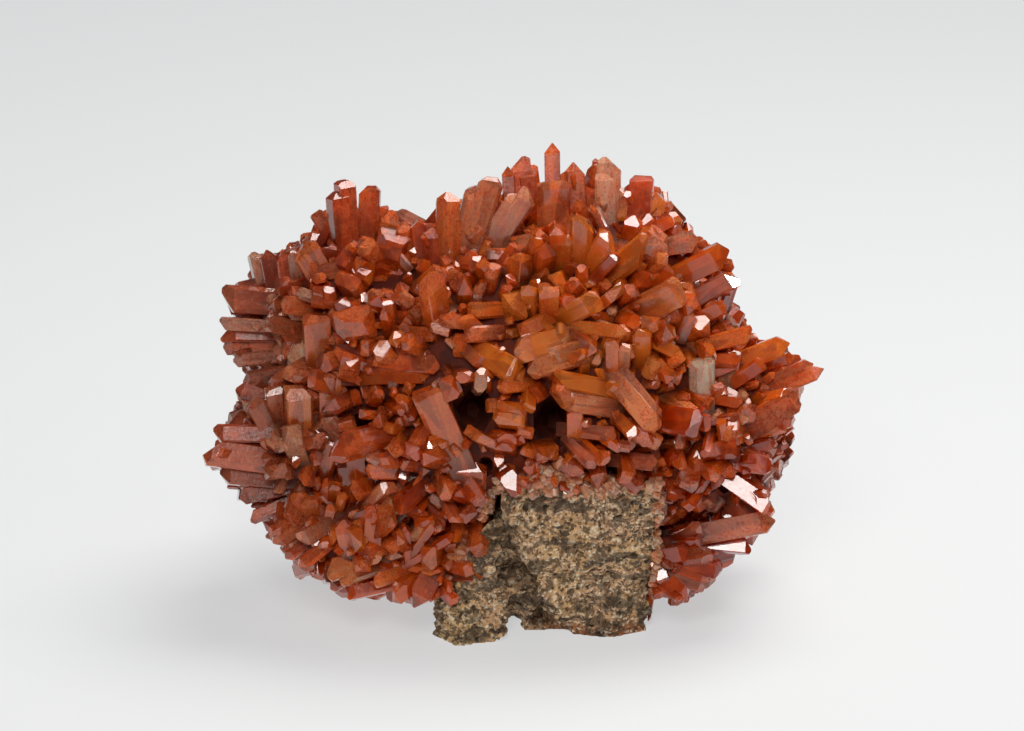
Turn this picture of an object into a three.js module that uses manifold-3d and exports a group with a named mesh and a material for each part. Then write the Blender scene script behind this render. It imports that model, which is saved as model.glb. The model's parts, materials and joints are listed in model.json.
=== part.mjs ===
// Hopeite specimen: orange-brown prismatic crystals grown together on a block of porous rock.
// Millimetres, +Z up, the front faces -Y. The origin is the middle of the flat foot of the rock.
import * as THREE from 'three';
import { ConvexGeometry } from 'three/addons/geometries/ConvexGeometry.js';
import { mergeVertices } from 'three/addons/utils/BufferGeometryUtils.js';
import Module from 'manifold-3d';

const wasm = await Module();
wasm.setup();

// Driving dimensions

const VIEW_TILT = THREE.MathUtils.degToRad(20); // how far the front view looks down on the specimen
const GAP = 0.5; // radial clearance between the rock and the crystals, 0.3 or more square to a face
const ROOT_DEPTH = 3.2; // how far a crystal runs on below the surface that it grows from
const FLOOR_CLEARANCE = 0.7; // lowest that any crystal reaches above the foot
const ROCK_ROUGHNESS = 0.55; // deepest broken-grain hollow in the coarse rock surface
const CRUST_ROUGHNESS = 0.5; // relief of the massive hopeite between the crystals
const FILL_COUNT = 250; // places tried for crystals on the sides, top and back
const FILL_SPACING = 4.8; // closest that two filled-in crystals stand
const BODY_CENTRE = [-3, 22.7, 7.2]; // middle of the crystal mass in the front view
const NARROW = 2.5; // blunt crystals narrower than this have no bevel round the end
const WEDGE = 0.55; // height of a chisel end against the crystal's thickness
const TAPER = 0.9; // scale of a crystal's section at its buried end
const BEVEL = 0.16; // depth of a blunt end's bevel and slope against the width
const EDGE_INSET = 0.28; // how far a blade's flat face stops short of its edge, against the thickness
const BLADE_SLOPE = 0.3; // fall of a blade's end against its larger side
const POINT_HEIGHT = 0.55; // height of a pointed end against the width
const SINK = { least: 0.3, spread: 0.5 }; // how deep a listed crystal is rooted in the crust
const TURN_SCATTER = 24; // degrees through which the turns of the listed crystals are scattered
const SIDEWAYS = 0.35; // crystals that lean more than this across the view are set by its direction
const MOUTH = 1.5; // how far a hollow starts in front of the crust

// Sizes of the filled-in crystals: least and spread of each
const FILL_LENGTH = { least: 3.6, spread: 3.2 };
const FILL_WIDTH = { least: 2.2, spread: 1.8 };
const FILL_THICKNESS = { least: 0.6, spread: 0.25 };
const FILL_LEAN = 1.1; // spread of their direction about square to the surface
const FILL_LOWEST = 2.2; // lowest place where one is rooted or ends
const FILL_PULLS = [1, 0.7, 0.4, 0.1]; // shares of the length tried to keep a tip in the outline
const FILL_MIDDLE = 0.4; // share of the length at which the spacing is measured

// Where the rock is bare: on the back, under the crystals, and on the front face in the front view
const BARE_BACK = { behind: 9, below: 27, middle: -0.5, half: 13.5, narrowing: 0.12, level: 16 };
const BARE_FOOT = { below: 4.5, half: 13, front: -14 };
const BARE_FACE = { left: -6, right: 11.5, top: 11 };

// Noise of the rock surface: size of the cells and share of the relief
const ROCK_GRAINS = [[2.1, 0.6], [4.7, 0.9]];
const SMOOTH_SHARE = 0.35; // share of the relief on the grown rock that is cut out of the crystals
const FLOOR_SIDE = 80; // side of the block that cuts the foot flat

// Colours of the two materials
const HOPEITE_COLOUR = 0xb45a2a;
const ROCK_COLOUR = 0x8d7c66;

// Rounded masses that the crystals cover.
// Centre across, up and toward the viewer, then the three radii in the same directions.
const MASSES = [
  [-3.0, 22.7, 7.2, 24.0, 16.5, 15.0],
  [5.5, 31.5, 7.0, 11.5, 9.0, 11.0],
  [-19.8, 29.8, 7.0, 8.6, 7.0, 9.5],
  [-25.0, 16.0, 7.0, 5.8, 7.0, 9.0],
  [16.0, 17.5, 6.0, 8.6, 9.0, 11.0],
  [-18.5, 7.2, 7.5, 7.6, 5.2, 8.5],
  [12.4, 4.6, 5.5, 4.6, 4.6, 7.5],
  [-11.5, 4.6, 9.0, 5.5, 4.0, 6.0],
];

// Deep hollows between the crystals: across, up, half width, depth
const HOLLOWS = [
  [-17.9, 17.2, 1.6, 7.0],
  [-7.3, 19.3, 1.9, 8.0],
  [0.7, 18.2, 2.1, 8.0],
  [11.0, 17.6, 1.5, 6.0],
];

// Outline of the specimen in the front view, across and up, clockwise from the lower left
const OUTLINE = [
  [-32.3, 29.4], [-32.6, 27.8], [-32.3, 25.6], [-30.3, 22.0], [-31.0, 21.2], [-30.8, 19.0],
  [-33.2, 16.6], [-34.0, 15.0], [-32.8, 13.2], [-30.2, 10.7], [-29.5, 8.0], [-26.9, 5.5],
  [-24.9, 3.5], [-22.0, 2.1], [-19.6, 0.0], [-14.0, 0.0], [-11.8, -1.4], [-8.8, -4.3],
  [-3.6, -2.0], [1.5, -2.5], [7.5, -3.4], [10.4, -2.5], [13.0, -0.8], [14.8, 1.0],
  [17.4, 2.6], [21.0, 5.4], [23.2, 8.2], [22.2, 10.0], [21.2, 11.8], [22.6, 14.0],
  [23.0, 16.4], [24.4, 18.2], [25.5, 20.0], [26.0, 21.8], [27.8, 23.6], [24.6, 25.0],
  [24.4, 26.2], [21.2, 26.5], [18.2, 27.8], [17.8, 29.9], [19.0, 32.6], [18.4, 35.3],
  [15.2, 36.3], [13.0, 38.8], [12.0, 41.2], [10.4, 42.6], [7.6, 43.0], [6.4, 44.4],
  [4.2, 42.8], [2.8, 44.0], [0.7, 46.0], [-2.1, 44.7], [-5.6, 42.6], [-8.2, 40.0],
  [-9.6, 40.9], [-11.0, 37.4], [-14.6, 38.0], [-16.2, 40.3], [-17.4, 41.6], [-20.4, 42.2],
  [-21.8, 40.2], [-23.0, 38.2], [-25.6, 35.3], [-28.9, 35.1], [-30.6, 32.6],
];

// Crystals of the front, sides and top edge that can be told apart.
// Tip across and up, root across and up, width, thickness, rise of the tip toward the viewer,
// turn about the crystal's own length in degrees, and the kind of end.
const CRYSTALS = [
  // Two blocky towers at the top left, with the knobs and shoulders beside them
  [-20.4, 42.2, -20.0, 35.4, 2.8, 2.2, 0.4, 20, 'blunt'],
  [-17.4, 41.6, -17.7, 35.6, 2.2, 1.8, 0.8, -15, 'blunt'],
  [-15.3, 39.2, -16.8, 35.4, 2.0, 1.6, 0.6, 10, 'chisel'],
  [-23.0, 39.0, -21.2, 36.0, 1.5, 1.2, 0.4, 0, 'blunt'],
  [-24.2, 35.7, -22.5, 32.8, 3.0, 2.2, 1.0, 0, 'chisel'],
  [-27.8, 35.3, -27.0, 31.0, 1.8, 1.4, 0.4, 0, 'point'],
  [-28.9, 35.1, -27.8, 30.4, 2.0, 1.5, 0.3, 15, 'chisel'],
  // Smooth lobe and stacked plates at the far left
  [-32.3, 30.4, -27.0, 30.0, 3.0, 2.2, 0.6, 0, 'chisel'],
  [-32.5, 27.9, -26.0, 27.5, 0.8, 2.2, 0.4, 0, 'blade'],
  [-32.2, 25.4, -26.0, 25.4, 0.8, 2.0, 0.4, 0, 'blade'],
  [-31.2, 24.2, -26.0, 24.6, 1.6, 2.0, 0.3, 0, 'chisel'],
  [-30.2, 22.2, -25.6, 23.0, 1.8, 1.5, 0.2, 0, 'chisel'],
  // Upper left slope
  [-19.4, 33.4, -23.0, 32.7, 1.8, 1.2, 1.8, 10, 'chisel'],
  [-22.0, 30.3, -21.6, 30.7, 2.4, 2.4, 3.0, 0, 'blunt'],
  [-18.3, 32.7, -18.0, 33.2, 2.5, 2.6, 3.2, 0, 'blunt'],
  [-14.8, 34.0, -15.0, 34.8, 4.6, 4.8, 3.8, 0, 'blunt'],
  [-14.1, 38.0, -13.5, 34.6, 1.8, 1.5, 0.2, 0, 'point'],
  [-11.4, 37.3, -11.2, 33.8, 1.6, 1.4, 0.2, 0, 'chisel'],
  [-18.9, 27.6, -18.6, 28.1, 4.4, 3.5, 3.6, 0, 'blunt'],
  [-22.7, 28.8, -22.5, 23.7, 3.0, 2.2, 2.2, 0, 'blunt'],
  [-23.7, 23.4, -25.9, 27.0, 2.6, 2.0, 2.2, 0, 'blunt'],
  [-27.7, 28.0, -24.5, 27.2, 2.0, 1.6, 1.8, 0, 'blunt'],
  // Top edge
  [-9.4, 40.9, -9.5, 34.6, 2.6, 2.2, 0.4, 30, 'chisel'],
  [-5.6, 42.6, -7.7, 35.6, 3.5, 2.6, 1.0, -10, 'blunt'],
  [-1.7, 41.2, -5.2, 36.0, 3.0, 2.0, 1.8, 0, 'chisel'],
  [-2.1, 44.6, -1.5, 38.6, 3.0, 2.2, 0.2, 0, 'chisel'],
  [0.7, 46.0, 0.8, 39.0, 1.7, 1.5, 0.0, 0, 'point'],
  [0.8, 41.9, 0.8, 37.0, 3.5, 1.6, 1.8, 0, 'blunt'],
  [2.8, 44.0, 3.3, 38.4, 2.2, 1.6, 0.2, 0, 'point'],
  [6.4, 44.4, 6.2, 38.4, 2.6, 2.0, 0.4, 0, 'chisel'],
  [9.7, 42.6, 9.3, 37.4, 2.6, 2.0, 0.3, 0, 'blunt'],
  [12.0, 39.7, 5.0, 39.0, 2.8, 2.2, 1.5, 0, 'chisel'],
  [8.9, 38.6, 8.3, 35.6, 2.0, 1.5, 1.6, 0, 'point'],
  // Fan of leaf-shaped blades below the top edge
  [1.5, 37.4, 1.5, 33.6, 2.4, 1.8, 2.6, 0, 'blunt'],
  [3.7, 38.4, 3.3, 33.4, 2.6, 1.3, 2.4, 0, 'blade'],
  [6.6, 36.6, 4.3, 32.6, 2.8, 1.4, 2.6, 0, 'blade'],
  [10.5, 35.9, 5.5, 32.0, 2.8, 1.5, 2.6, 0, 'blade'],
  // Right side
  [15.2, 36.0, 11.0, 35.4, 2.0, 1.6, 0.6, 0, 'chisel'],
  [18.4, 35.1, 12.8, 32.4, 2.6, 2.0, 1.2, 0, 'point'],
  [19.1, 32.6, 14.2, 30.0, 2.0, 1.6, 0.8, 0, 'chisel'],
  [17.9, 29.6, 14.6, 28.0, 1.6, 1.4, 1.0, 0, 'blunt'],
  [13.5, 31.2, 9.5, 29.2, 3.2, 2.4, 2.4, 0, 'blunt'],
  [15.2, 27.1, 14.6, 27.4, 3.0, 2.8, 3.0, 0, 'point'],
  [20.6, 26.9, 15.4, 25.6, 1.8, 1.5, 1.0, 0, 'chisel'],
  [24.4, 26.0, 18.6, 23.8, 2.2, 1.7, 0.8, 0, 'point'],
  [27.8, 23.7, 22.4, 21.4, 2.4, 1.8, 0.3, 0, 'point'],
  [25.3, 20.5, 20.3, 17.6, 3.0, 2.2, 1.2, 0, 'blunt'],
  [21.7, 24.0, 18.2, 21.6, 1.6, 1.4, 1.6, 0, 'chisel'],
  [24.4, 17.9, 20.3, 17.0, 1.8, 1.4, 0.3, 0, 'chisel'],
  [22.5, 13.7, 18.2, 14.2, 2.2, 1.8, 0.8, 0, 'blunt'],
  [22.4, 9.4, 18.4, 12.2, 2.0, 1.5, 0.4, 0, 'chisel'],
  [23.1, 8.2, 14.8, 6.6, 2.4, 1.8, 1.2, 0, 'point'],
  [15.4, 24.4, 15.5, 18.8, 2.9, 1.7, 1.8, 35, 'blunt'],
  [15.2, 17.7, 12.9, 13.0, 2.4, 1.8, 2.0, 0, 'chisel'],
  [16.7, 9.7, 13.6, 8.6, 2.0, 1.6, 1.4, 0, 'point'],
  [9.5, 27.4, 9.5, 24.4, 2.2, 1.8, 2.6, 0, 'blunt'],
  // Lower right corner beside the rock
  [20.7, 5.5, 15.6, 6.0, 1.8, 1.5, 0.4, 0, 'chisel'],
  [17.5, 2.7, 13.6, 4.0, 2.4, 1.9, 0.8, 0, 'blunt'],
  [14.6, 5.2, 11.6, 4.6, 2.0, 1.7, 1.6, 0, 'chisel'],
  [14.2, 0.4, 11.8, 2.4, 2.2, 1.6, 0.8, 0, 'chisel'],
  // Centre
  [-3.2, 29.2, -2.9, 29.7, 2.6, 3.0, 3.2, 0, 'point'],
  [0.3, 31.3, 0.3, 28.8, 2.2, 1.6, 3.2, 0, 'blunt'],
  [5.3, 30.2, 1.7, 28.4, 2.4, 1.8, 3.4, 0, 'chisel'],
  [-3.0, 25.0, 2.3, 26.2, 2.8, 2.0, 3.2, 0, 'chisel'],
  [-2.0, 23.4, 4.0, 25.0, 2.8, 2.0, 3.2, 0, 'point'],
  [0.7, 22.4, 6.0, 21.4, 2.0, 1.6, 3.4, 0, 'chisel'],
  [2.0, 20.2, 5.5, 19.7, 2.4, 1.8, 2.4, 0, 'blunt'],
  [11.2, 17.6, 6.7, 23.0, 3.0, 2.2, 3.0, 0, 'blunt'],
  [11.0, 14.0, 7.0, 14.4, 1.8, 1.5, 1.8, 0, 'chisel'],
  [-7.5, 29.0, -4.0, 29.2, 1.8, 1.5, 2.4, 0, 'blunt'],
  [-7.9, 26.7, -4.0, 26.9, 1.8, 1.5, 2.4, 0, 'blunt'],
  [-2.8, 23.0, -6.5, 25.0, 2.6, 2.0, 3.0, 0, 'blunt'],
  [-3.6, 19.1, -3.3, 18.4, 3.5, 2.6, 2.8, 0, 'blunt'],
  [-4.4, 16.6, -4.2, 15.9, 3.3, 2.0, 2.4, 0, 'chisel'],
  [-11.8, 21.4, -8.8, 14.7, 3.4, 1.8, 2.8, 0, 'blunt'],
  [-10.3, 24.0, -17.7, 24.2, 2.8, 2.2, 2.6, 0, 'chisel'],
  // Left flank
  [-19.4, 23.2, -19.2, 23.5, 2.2, 2.8, 3.2, 0, 'point'],
  [-21.0, 23.3, -21.0, 19.0, 2.8, 2.1, 2.4, 0, 'blunt'],
  [-24.5, 21.6, -24.4, 16.8, 2.9, 2.4, 2.4, 0, 'blunt'],
  [-29.0, 20.4, -27.0, 16.2, 2.2, 1.8, 1.4, 0, 'chisel'],
  [-26.9, 21.6, -26.7, 18.4, 2.0, 1.8, 1.8, 0, 'blunt'],
  [-30.8, 21.4, -27.2, 20.0, 1.8, 1.5, 0.4, 0, 'chisel'],
  [-34.0, 15.2, -27.0, 14.2, 3.2, 2.6, 0.8, 0, 'blade'],
  [-33.0, 16.9, -26.6, 16.8, 2.0, 2.0, 0.6, 0, 'chisel'],
  [-32.4, 12.9, -27.0, 12.4, 2.2, 2.0, 0.6, 0, 'chisel'],
  [-30.4, 10.5, -26.4, 11.4, 1.8, 1.5, 0.5, 0, 'chisel'],
  [-29.5, 8.3, -25.2, 10.2, 1.5, 1.3, 0.4, 0, 'chisel'],
  [-21.7, 16.6, -25.5, 16.0, 2.4, 1.8, 2.2, 0, 'chisel'],
  [-20.8, 16.9, -22.3, 12.5, 2.2, 1.7, 2.4, 0, 'chisel'],
  [-19.5, 16.4, -19.0, 10.7, 3.0, 2.2, 2.4, 0, 'point'],
  [-15.5, 18.0, -16.5, 12.2, 2.6, 1.8, 2.4, 0, 'chisel'],
  [-11.6, 15.4, -14.9, 9.0, 3.3, 2.4, 3.0, 0, 'blunt'],
  [-7.7, 14.4, -7.7, 10.9, 4.0, 2.4, 2.6, 0, 'chisel'],
  // Lower left
  [-25.5, 12.2, -23.8, 10.2, 1.8, 1.4, 1.4, 0, 'chisel'],
  [-23.5, 10.5, -23.2, 8.4, 2.0, 1.6, 2.0, 0, 'blunt'],
  [-24.5, 6.2, -21.8, 7.6, 1.8, 1.4, 1.4, 0, 'chisel'],
  [-27.0, 5.8, -23.6, 8.2, 1.5, 1.3, 0.5, 0, 'chisel'],
  [-20.0, 8.4, -19.5, 5.6, 2.0, 1.5, 2.2, 0, 'point'],
  [-17.0, 9.7, -17.3, 6.2, 2.0, 1.5, 2.4, 0, 'chisel'],
  [-21.7, 2.6, -17.5, 4.0, 3.2, 2.0, 1.8, 0, 'chisel'],
  [-19.8, 0.9, -13.5, 2.2, 1.5, 1.6, 1.0, 0, 'chisel'],
  [-10.2, 3.0, -13.8, 3.6, 1.2, 1.6, 2.0, 0, 'blade'],
  // Small crystals along the upper edge of the rock
  [-1.0, 15.2, -0.5, 12.7, 1.6, 1.3, 1.8, 0, 'point'],
  [9.6, 13.4, 8.6, 11.2, 1.6, 1.4, 1.6, 0, 'chisel'],
];

// Rock: corners of its convex lumps, X, Y, Z from the middle of the foot
const FRONT_BLOCK = [
  [-4.6, -13.6, 16.6], [-2.0, -14.2, 17.6], [5.5, -14.4, 16.0], [11.2, -13.0, 17.4],
  [11.8, -12.4, 14.8], [11.2, -11.4, 9.8], [10.7, -10.4, 6.0], [10.8, -9.0, 1.6],
  [9.8, -8.6, -1.4], [7.4, -10.1, -1.4], [2.6, -8.6, -1.4], [-1.6, -8.6, -1.4],
  [-5.0, -12.8, 10.0], [-1.4, -12.2, 4.4], [-8.0, 0.0, 15.0], [9.5, 0.0, 16.0],
  [-8.0, 4.0, -1.4], [9.5, 4.0, -1.4],
];
const LEFT_LOBE = [
  [-11.4, -10.6, 4.2], [-11.2, -10.4, -1.4], [-8.8, -13.1, -1.4], [-6.0, -11.8, -1.4],
  [-4.0, -11.6, 1.0], [-9.1, -12.6, 8.8], [-8.0, -13.0, 10.6], [-6.4, -13.1, 12.8],
  [-4.6, -13.0, 13.8], [-3.2, -12.2, 5.0], [-10.8, -2.0, -1.4], [-9.0, -3.0, 9.0],
  [-3.0, -2.0, 12.0], [-3.0, -2.0, -1.4],
];
const BACK_SLAB = [
  [-11.0, 11.5, -1.4], [10.0, 12.5, -1.4], [-14.0, 16.6, 9.0], [12.6, 17.4, 10.0],
  [-12.4, 18.8, 19.6], [11.2, 19.2, 21.0], [-6.4, 17.8, 28.6], [4.8, 18.0, 29.4],
  [-13.0, 6.0, 12.0], [12.0, 6.0, 13.0], [-9.0, 0.0, -1.4], [9.0, 0.0, -1.4],
  [-6.0, 12.0, 27.0], [5.0, 12.0, 27.5],
];
// Broken hollow at the lower left of the front block, and the arch under its front edge
const BREAK_HOLLOW = [
  [-4.2, -14.8, 8.6], [-0.8, -14.8, 8.2], [-0.3, -14.8, 4.6], [-3.6, -14.8, 4.2],
  [-3.4, -10.2, 7.6], [-1.4, -10.2, 7.4], [-1.2, -10.2, 5.2], [-3.0, -10.2, 4.8],
];
const FRONT_ARCH = [
  [-4.4, -15.0, -1.0], [3.8, -15.0, -1.0], [3.0, -15.0, 1.8], [-2.8, -15.0, 2.7],
  [-3.2, -8.4, -1.0], [3.0, -8.0, -1.0], [1.6, -9.2, 1.3], [-1.8, -9.2, 1.8],
];

// Randomness that is the same in every run

function stream(seed) {
  let state = Math.imul(seed + 1, 2654435761) >>> 0;
  const next = () => {
    state = (Math.imul(state, 1664525) + 1013904223) >>> 0;
    return state / 4294967296;
  };
  next();
  return next;
}

function cellValue(ix, iy, iz, seed) {
  const mixed = Math.imul(ix, 73856093) ^ Math.imul(iy, 19349663) ^ Math.imul(iz, 83492791);
  return stream((mixed ^ seed) >>> 0)();
}

// Smooth lattice noise from 0 to 1
function noise(point, scale, seed) {
  const place = point.clone().divideScalar(scale);
  const cell = place.clone().floor();
  const part = place.sub(cell);
  const ease = (t) => t * t * (3 - 2 * t);
  let sum = 0;
  for (let corner = 0; corner < 8; corner += 1) {
    const dx = corner & 1;
    const dy = (corner >> 1) & 1;
    const dz = (corner >> 2) & 1;
    const weight = (dx ? ease(part.x) : 1 - ease(part.x))
      * (dy ? ease(part.y) : 1 - ease(part.y))
      * (dz ? ease(part.z) : 1 - ease(part.z));
    sum += weight * cellValue(cell.x + dx, cell.y + dy, cell.z + dz, seed);
  }
  return sum;
}

// Front view and model space

const VIEW_UP = new THREE.Vector3(0, Math.sin(VIEW_TILT), Math.cos(VIEW_TILT));
const VIEW_NEAR = new THREE.Vector3(0, -Math.cos(VIEW_TILT), Math.sin(VIEW_TILT));

// A place given across, up and toward the viewer, in model space
function fromView(across, up, near) {
  return new THREE.Vector3(across, 0, 0).addScaledVector(VIEW_UP, up).addScaledVector(VIEW_NEAR, near);
}

// How near to the viewer the rounded masses come at a place in the front view
function frontDepth(across, up) {
  let best = -Infinity;
  let nearest = -Infinity;
  let fallback = 0;
  for (const [cx, cy, cz, rx, ry, rz] of MASSES) {
    const inside = 1 - ((across - cx) / rx) ** 2 - ((up - cy) / ry) ** 2;
    if (inside > 0) best = Math.max(best, cz + rz * Math.sqrt(inside));
    if (inside > nearest) {
      nearest = inside;
      fallback = cz;
    }
  }
  return Math.max(best, fallback);
}

function insideOutline(across, up) {
  let inside = false;
  for (let i = 0, j = OUTLINE.length - 1; i < OUTLINE.length; j = i, i += 1) {
    const [xi, yi] = OUTLINE[i];
    const [xj, yj] = OUTLINE[j];
    const crosses = (yi > up) !== (yj > up);
    if (crosses && across < ((xj - xi) * (up - yi)) / (yj - yi) + xi) inside = !inside;
  }
  return inside;
}

// Solids

function toSolid(geometry) {
  const bare = geometry.index ? geometry.toNonIndexed() : geometry.clone();
  bare.deleteAttribute('normal');
  bare.deleteAttribute('uv');
  const welded = mergeVertices(bare, 1e-5);
  return new wasm.Manifold(new wasm.Mesh({
    numProp: 3,
    vertProperties: new Float32Array(welded.attributes.position.array),
    triVerts: new Uint32Array(welded.index.array),
  }));
}

function toGeometry(solid) {
  const mesh = solid.getMesh();
  const geometry = new THREE.BufferGeometry();
  geometry.setAttribute('position', new THREE.BufferAttribute(mesh.vertProperties, 3));
  geometry.setIndex(new THREE.BufferAttribute(mesh.triVerts, 1));
  return geometry;
}

function largestPiece(solid) {
  return solid.decompose().reduce((a, b) => (a.volume() > b.volume() ? a : b));
}

// Outline of one crystal in its own frame: x along its width, y its thickness, z its length
function crystalCorners(width, thickness, length, kind) {
  const x = width / 2;
  const y = thickness / 2;
  const flat = [[x, y], [-x, y], [-x, -y], [x, -y]];
  const edge = x - thickness * EDGE_INSET;
  const edged = [[x, 0], [edge, y], [-edge, y], [-x, 0], [-edge, -y], [edge, -y]];
  const ring = (section, scale, height) => section.map(
    ([a, b]) => new THREE.Vector3(a * scale, b * scale, typeof height === 'number' ? height : height(a)),
  );
  const base = -ROOT_DEPTH;
  if (kind === 'chisel') {
    return [
      ...ring(flat, TAPER, base),
      ...ring(flat, 1, length - thickness * WEDGE),
      new THREE.Vector3(x * 0.7, 0, length - 0.08 * width),
      new THREE.Vector3(-x * 0.6, 0, length),
    ];
  }
  if (kind === 'blunt' && width < NARROW) {
    return [...ring(flat, TAPER, base), ...ring(flat, 0.96, (a) => length - BEVEL * (x + a))];
  }
  if (kind === 'blunt') {
    const rim = length - BEVEL * width;
    return [
      ...ring(flat, TAPER, base),
      ...ring(flat, 1, (a) => rim - 0.06 * a),
      ...ring(flat, 0.72, (a) => length - 0.06 * (x + a)),
    ];
  }
  if (kind === 'blade') {
    const slope = Math.max(width, thickness) * BLADE_SLOPE;
    return [
      ...ring(edged, TAPER, base),
      ...ring(edged, 1, (a) => length - slope * (1.5 - 0.7 * Math.sign(a))),
      new THREE.Vector3(x * 0.3, 0, length),
    ];
  }
  return [
    ...ring(flat, TAPER, base),
    ...ring(flat, 1, length - POINT_HEIGHT * width),
    new THREE.Vector3(x * 0.12, y * 0.1, length),
  ];
}

// Frame of a crystal whose length runs from root to tip, turned about that length
function crystalFrame(root, tip, turn) {
  const along = tip.clone().sub(root).normalize();
  const sideways = Math.hypot(along.x, along.dot(VIEW_UP)) > SIDEWAYS;
  const lead = sideways ? VIEW_NEAR : VIEW_UP;
  const wide = new THREE.Vector3().crossVectors(lead, along).normalize();
  const thick = new THREE.Vector3().crossVectors(along, wide);
  const frame = new THREE.Matrix4().makeBasis(wide, thick, along);
  frame.multiply(new THREE.Matrix4().makeRotationZ(THREE.MathUtils.degToRad(turn)));
  return frame.setPosition(root);
}

function crystalSolid(root, tip, width, thickness, turn, kind) {
  const corners = crystalCorners(width, thickness, root.distanceTo(tip), kind);
  const frame = crystalFrame(root, tip, turn);
  corners.forEach((corner) => corner.applyMatrix4(frame));
  const lowest = Math.min(...corners.map((corner) => corner.z));
  corners.forEach((corner) => {
    corner.z += Math.max(0, FLOOR_CLEARANCE - lowest);
  });
  return toSolid(new ConvexGeometry(corners));
}

function listedCrystals() {
  return CRYSTALS.map(([tipX, tipY, rootX, rootY, width, thickness, rise, turn, kind], index) => {
    const random = stream(index);
    const near = frontDepth(rootX, rootY) - SINK.least - SINK.spread * random();
    const root = fromView(rootX, rootY, near);
    const tip = fromView(tipX, tipY, near + rise);
    return { root, tip, width, thickness, turn: turn + TURN_SCATTER * (random() - 0.5), kind };
  });
}

// Distance from the middle of the body to the surface of the masses in a view direction
function reach(direction) {
  const [ox, oy, oz] = BODY_CENTRE;
  let far = 0;
  for (const [cx, cy, cz, rx, ry, rz] of MASSES) {
    const d = [direction.x / rx, direction.y / ry, direction.z / rz];
    const o = [(ox - cx) / rx, (oy - cy) / ry, (oz - cz) / rz];
    const a = d[0] ** 2 + d[1] ** 2 + d[2] ** 2;
    const b = d[0] * o[0] + d[1] * o[1] + d[2] * o[2];
    const c = o[0] ** 2 + o[1] ** 2 + o[2] ** 2 - 1;
    const root = b * b - a * c;
    if (root > 0) far = Math.max(far, (-b + Math.sqrt(root)) / a);
  }
  return far;
}

// A number from a range of least and spread
function within({ least, spread }, random) {
  return least + spread * random();
}

// Whether a place lies on the bare rock of the back or the foot
function onBareRock(place) {
  const { behind, below, middle, half, narrowing, level } = BARE_BACK;
  const width = half - narrowing * Math.abs(place.z - level);
  const atBack = place.y > behind && place.z < below && Math.abs(place.x - middle) < width;
  const atFoot = place.z < BARE_FOOT.below
    && Math.abs(place.x) < BARE_FOOT.half
    && place.y > BARE_FOOT.front;
  return atBack || atFoot;
}

// Whether a place of the front view, near the viewer, hangs over the bare face of the rock
function overRockFace([across, up, near]) {
  return near > 0 && across > BARE_FACE.left && across < BARE_FACE.right && up < BARE_FACE.top;
}

// Crystals over the sides, top and back, spread evenly and kept off the listed ones
function filledCrystals(listed) {
  const kinds = ['chisel', 'point'];
  const golden = Math.PI * (3 - Math.sqrt(5));
  const placed = listed.map((crystal) => crystal.root.clone().lerp(crystal.tip, FILL_MIDDLE));
  const filled = [];
  for (let index = 0; index < FILL_COUNT; index += 1) {
    const random = stream(5000 + index);
    const near = 1 - (2 * index + 1) / FILL_COUNT;
    const round = Math.sqrt(1 - near * near);
    const angle = golden * index;
    const outward = new THREE.Vector3(Math.cos(angle) * round, Math.sin(angle) * round, near);
    const distance = reach(outward);
    const [ox, oy, oz] = BODY_CENTRE;
    const spot = [ox + outward.x * distance, oy + outward.y * distance, oz + outward.z * distance];
    const root = fromView(...spot);
    const lean = new THREE.Vector3(random() - 0.5, random() - 0.5, random() - 0.5);
    const length = within(FILL_LENGTH, random);
    const width = within(FILL_WIDTH, random);
    const thickness = width * within(FILL_THICKNESS, random);
    const turn = 180 * random();
    const kind = kinds[Math.floor(random() * kinds.length)];
    const axis = outward.clone().addScaledVector(lean, FILL_LEAN).normalize();
    const pull = FILL_PULLS.find((part) => insideOutline(
      spot[0] + axis.x * length * part,
      spot[1] + axis.y * length * part,
    ));
    if (pull === undefined) continue;
    const away = Math.sqrt(Math.max(0, 1 - pull * pull * (1 - axis.z * axis.z)));
    const tipSpot = [
      spot[0] + axis.x * length * pull,
      spot[1] + axis.y * length * pull,
      spot[2] + Math.sign(axis.z) * away * length,
    ];
    const tip = fromView(...tipSpot);
    const middle = root.clone().lerp(tip, FILL_MIDDLE);
    const crowded = placed.some((other) => other.distanceTo(middle) < FILL_SPACING);
    const bare = onBareRock(root) || overRockFace(tipSpot);
    if (crowded || bare || Math.min(tip.z, root.z) < FILL_LOWEST) continue;
    placed.push(middle);
    filled.push({ root, tip, width, thickness, turn, kind });
  }
  return filled;
}

// A rounded mass of crust with a lumpy surface
function massSolid([cx, cy, cz, rx, ry, rz], seed) {
  const ball = new THREE.IcosahedronGeometry(1, 1);
  const places = ball.attributes.position;
  for (let i = 0; i < places.count; i += 1) {
    const unit = new THREE.Vector3().fromBufferAttribute(places, i);
    const dent = 1 - (CRUST_ROUGHNESS * noise(unit, 0.5, seed)) / Math.min(rx, ry, rz);
    const place = fromView(cx + unit.x * rx * dent, cy + unit.y * ry * dent, cz + unit.z * rz * dent);
    place.z = Math.max(place.z, FLOOR_CLEARANCE);
    places.setXYZ(i, place.x, place.y, place.z);
  }
  return toSolid(ball);
}

function hollowSolid([across, up, half, depth]) {
  const near = frontDepth(across, up) + MOUTH;
  const corners = [];
  for (const [scale, far] of [[1, 0], [0.8, 0.6], [0.3, 1]]) {
    for (let k = 0; k < 5; k += 1) {
      const angle = (k + far) * ((2 * Math.PI) / 5);
      const size = half * scale;
      corners.push(fromView(
        across + size * Math.cos(angle),
        up + 1.3 * size * Math.sin(angle),
        near - far * (depth + MOUTH),
      ));
    }
  }
  return toSolid(new ConvexGeometry(corners));
}

function directionKey(ray) {
  return ray.toArray().map((value) => value.toFixed(4)).join(' ');
}

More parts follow.
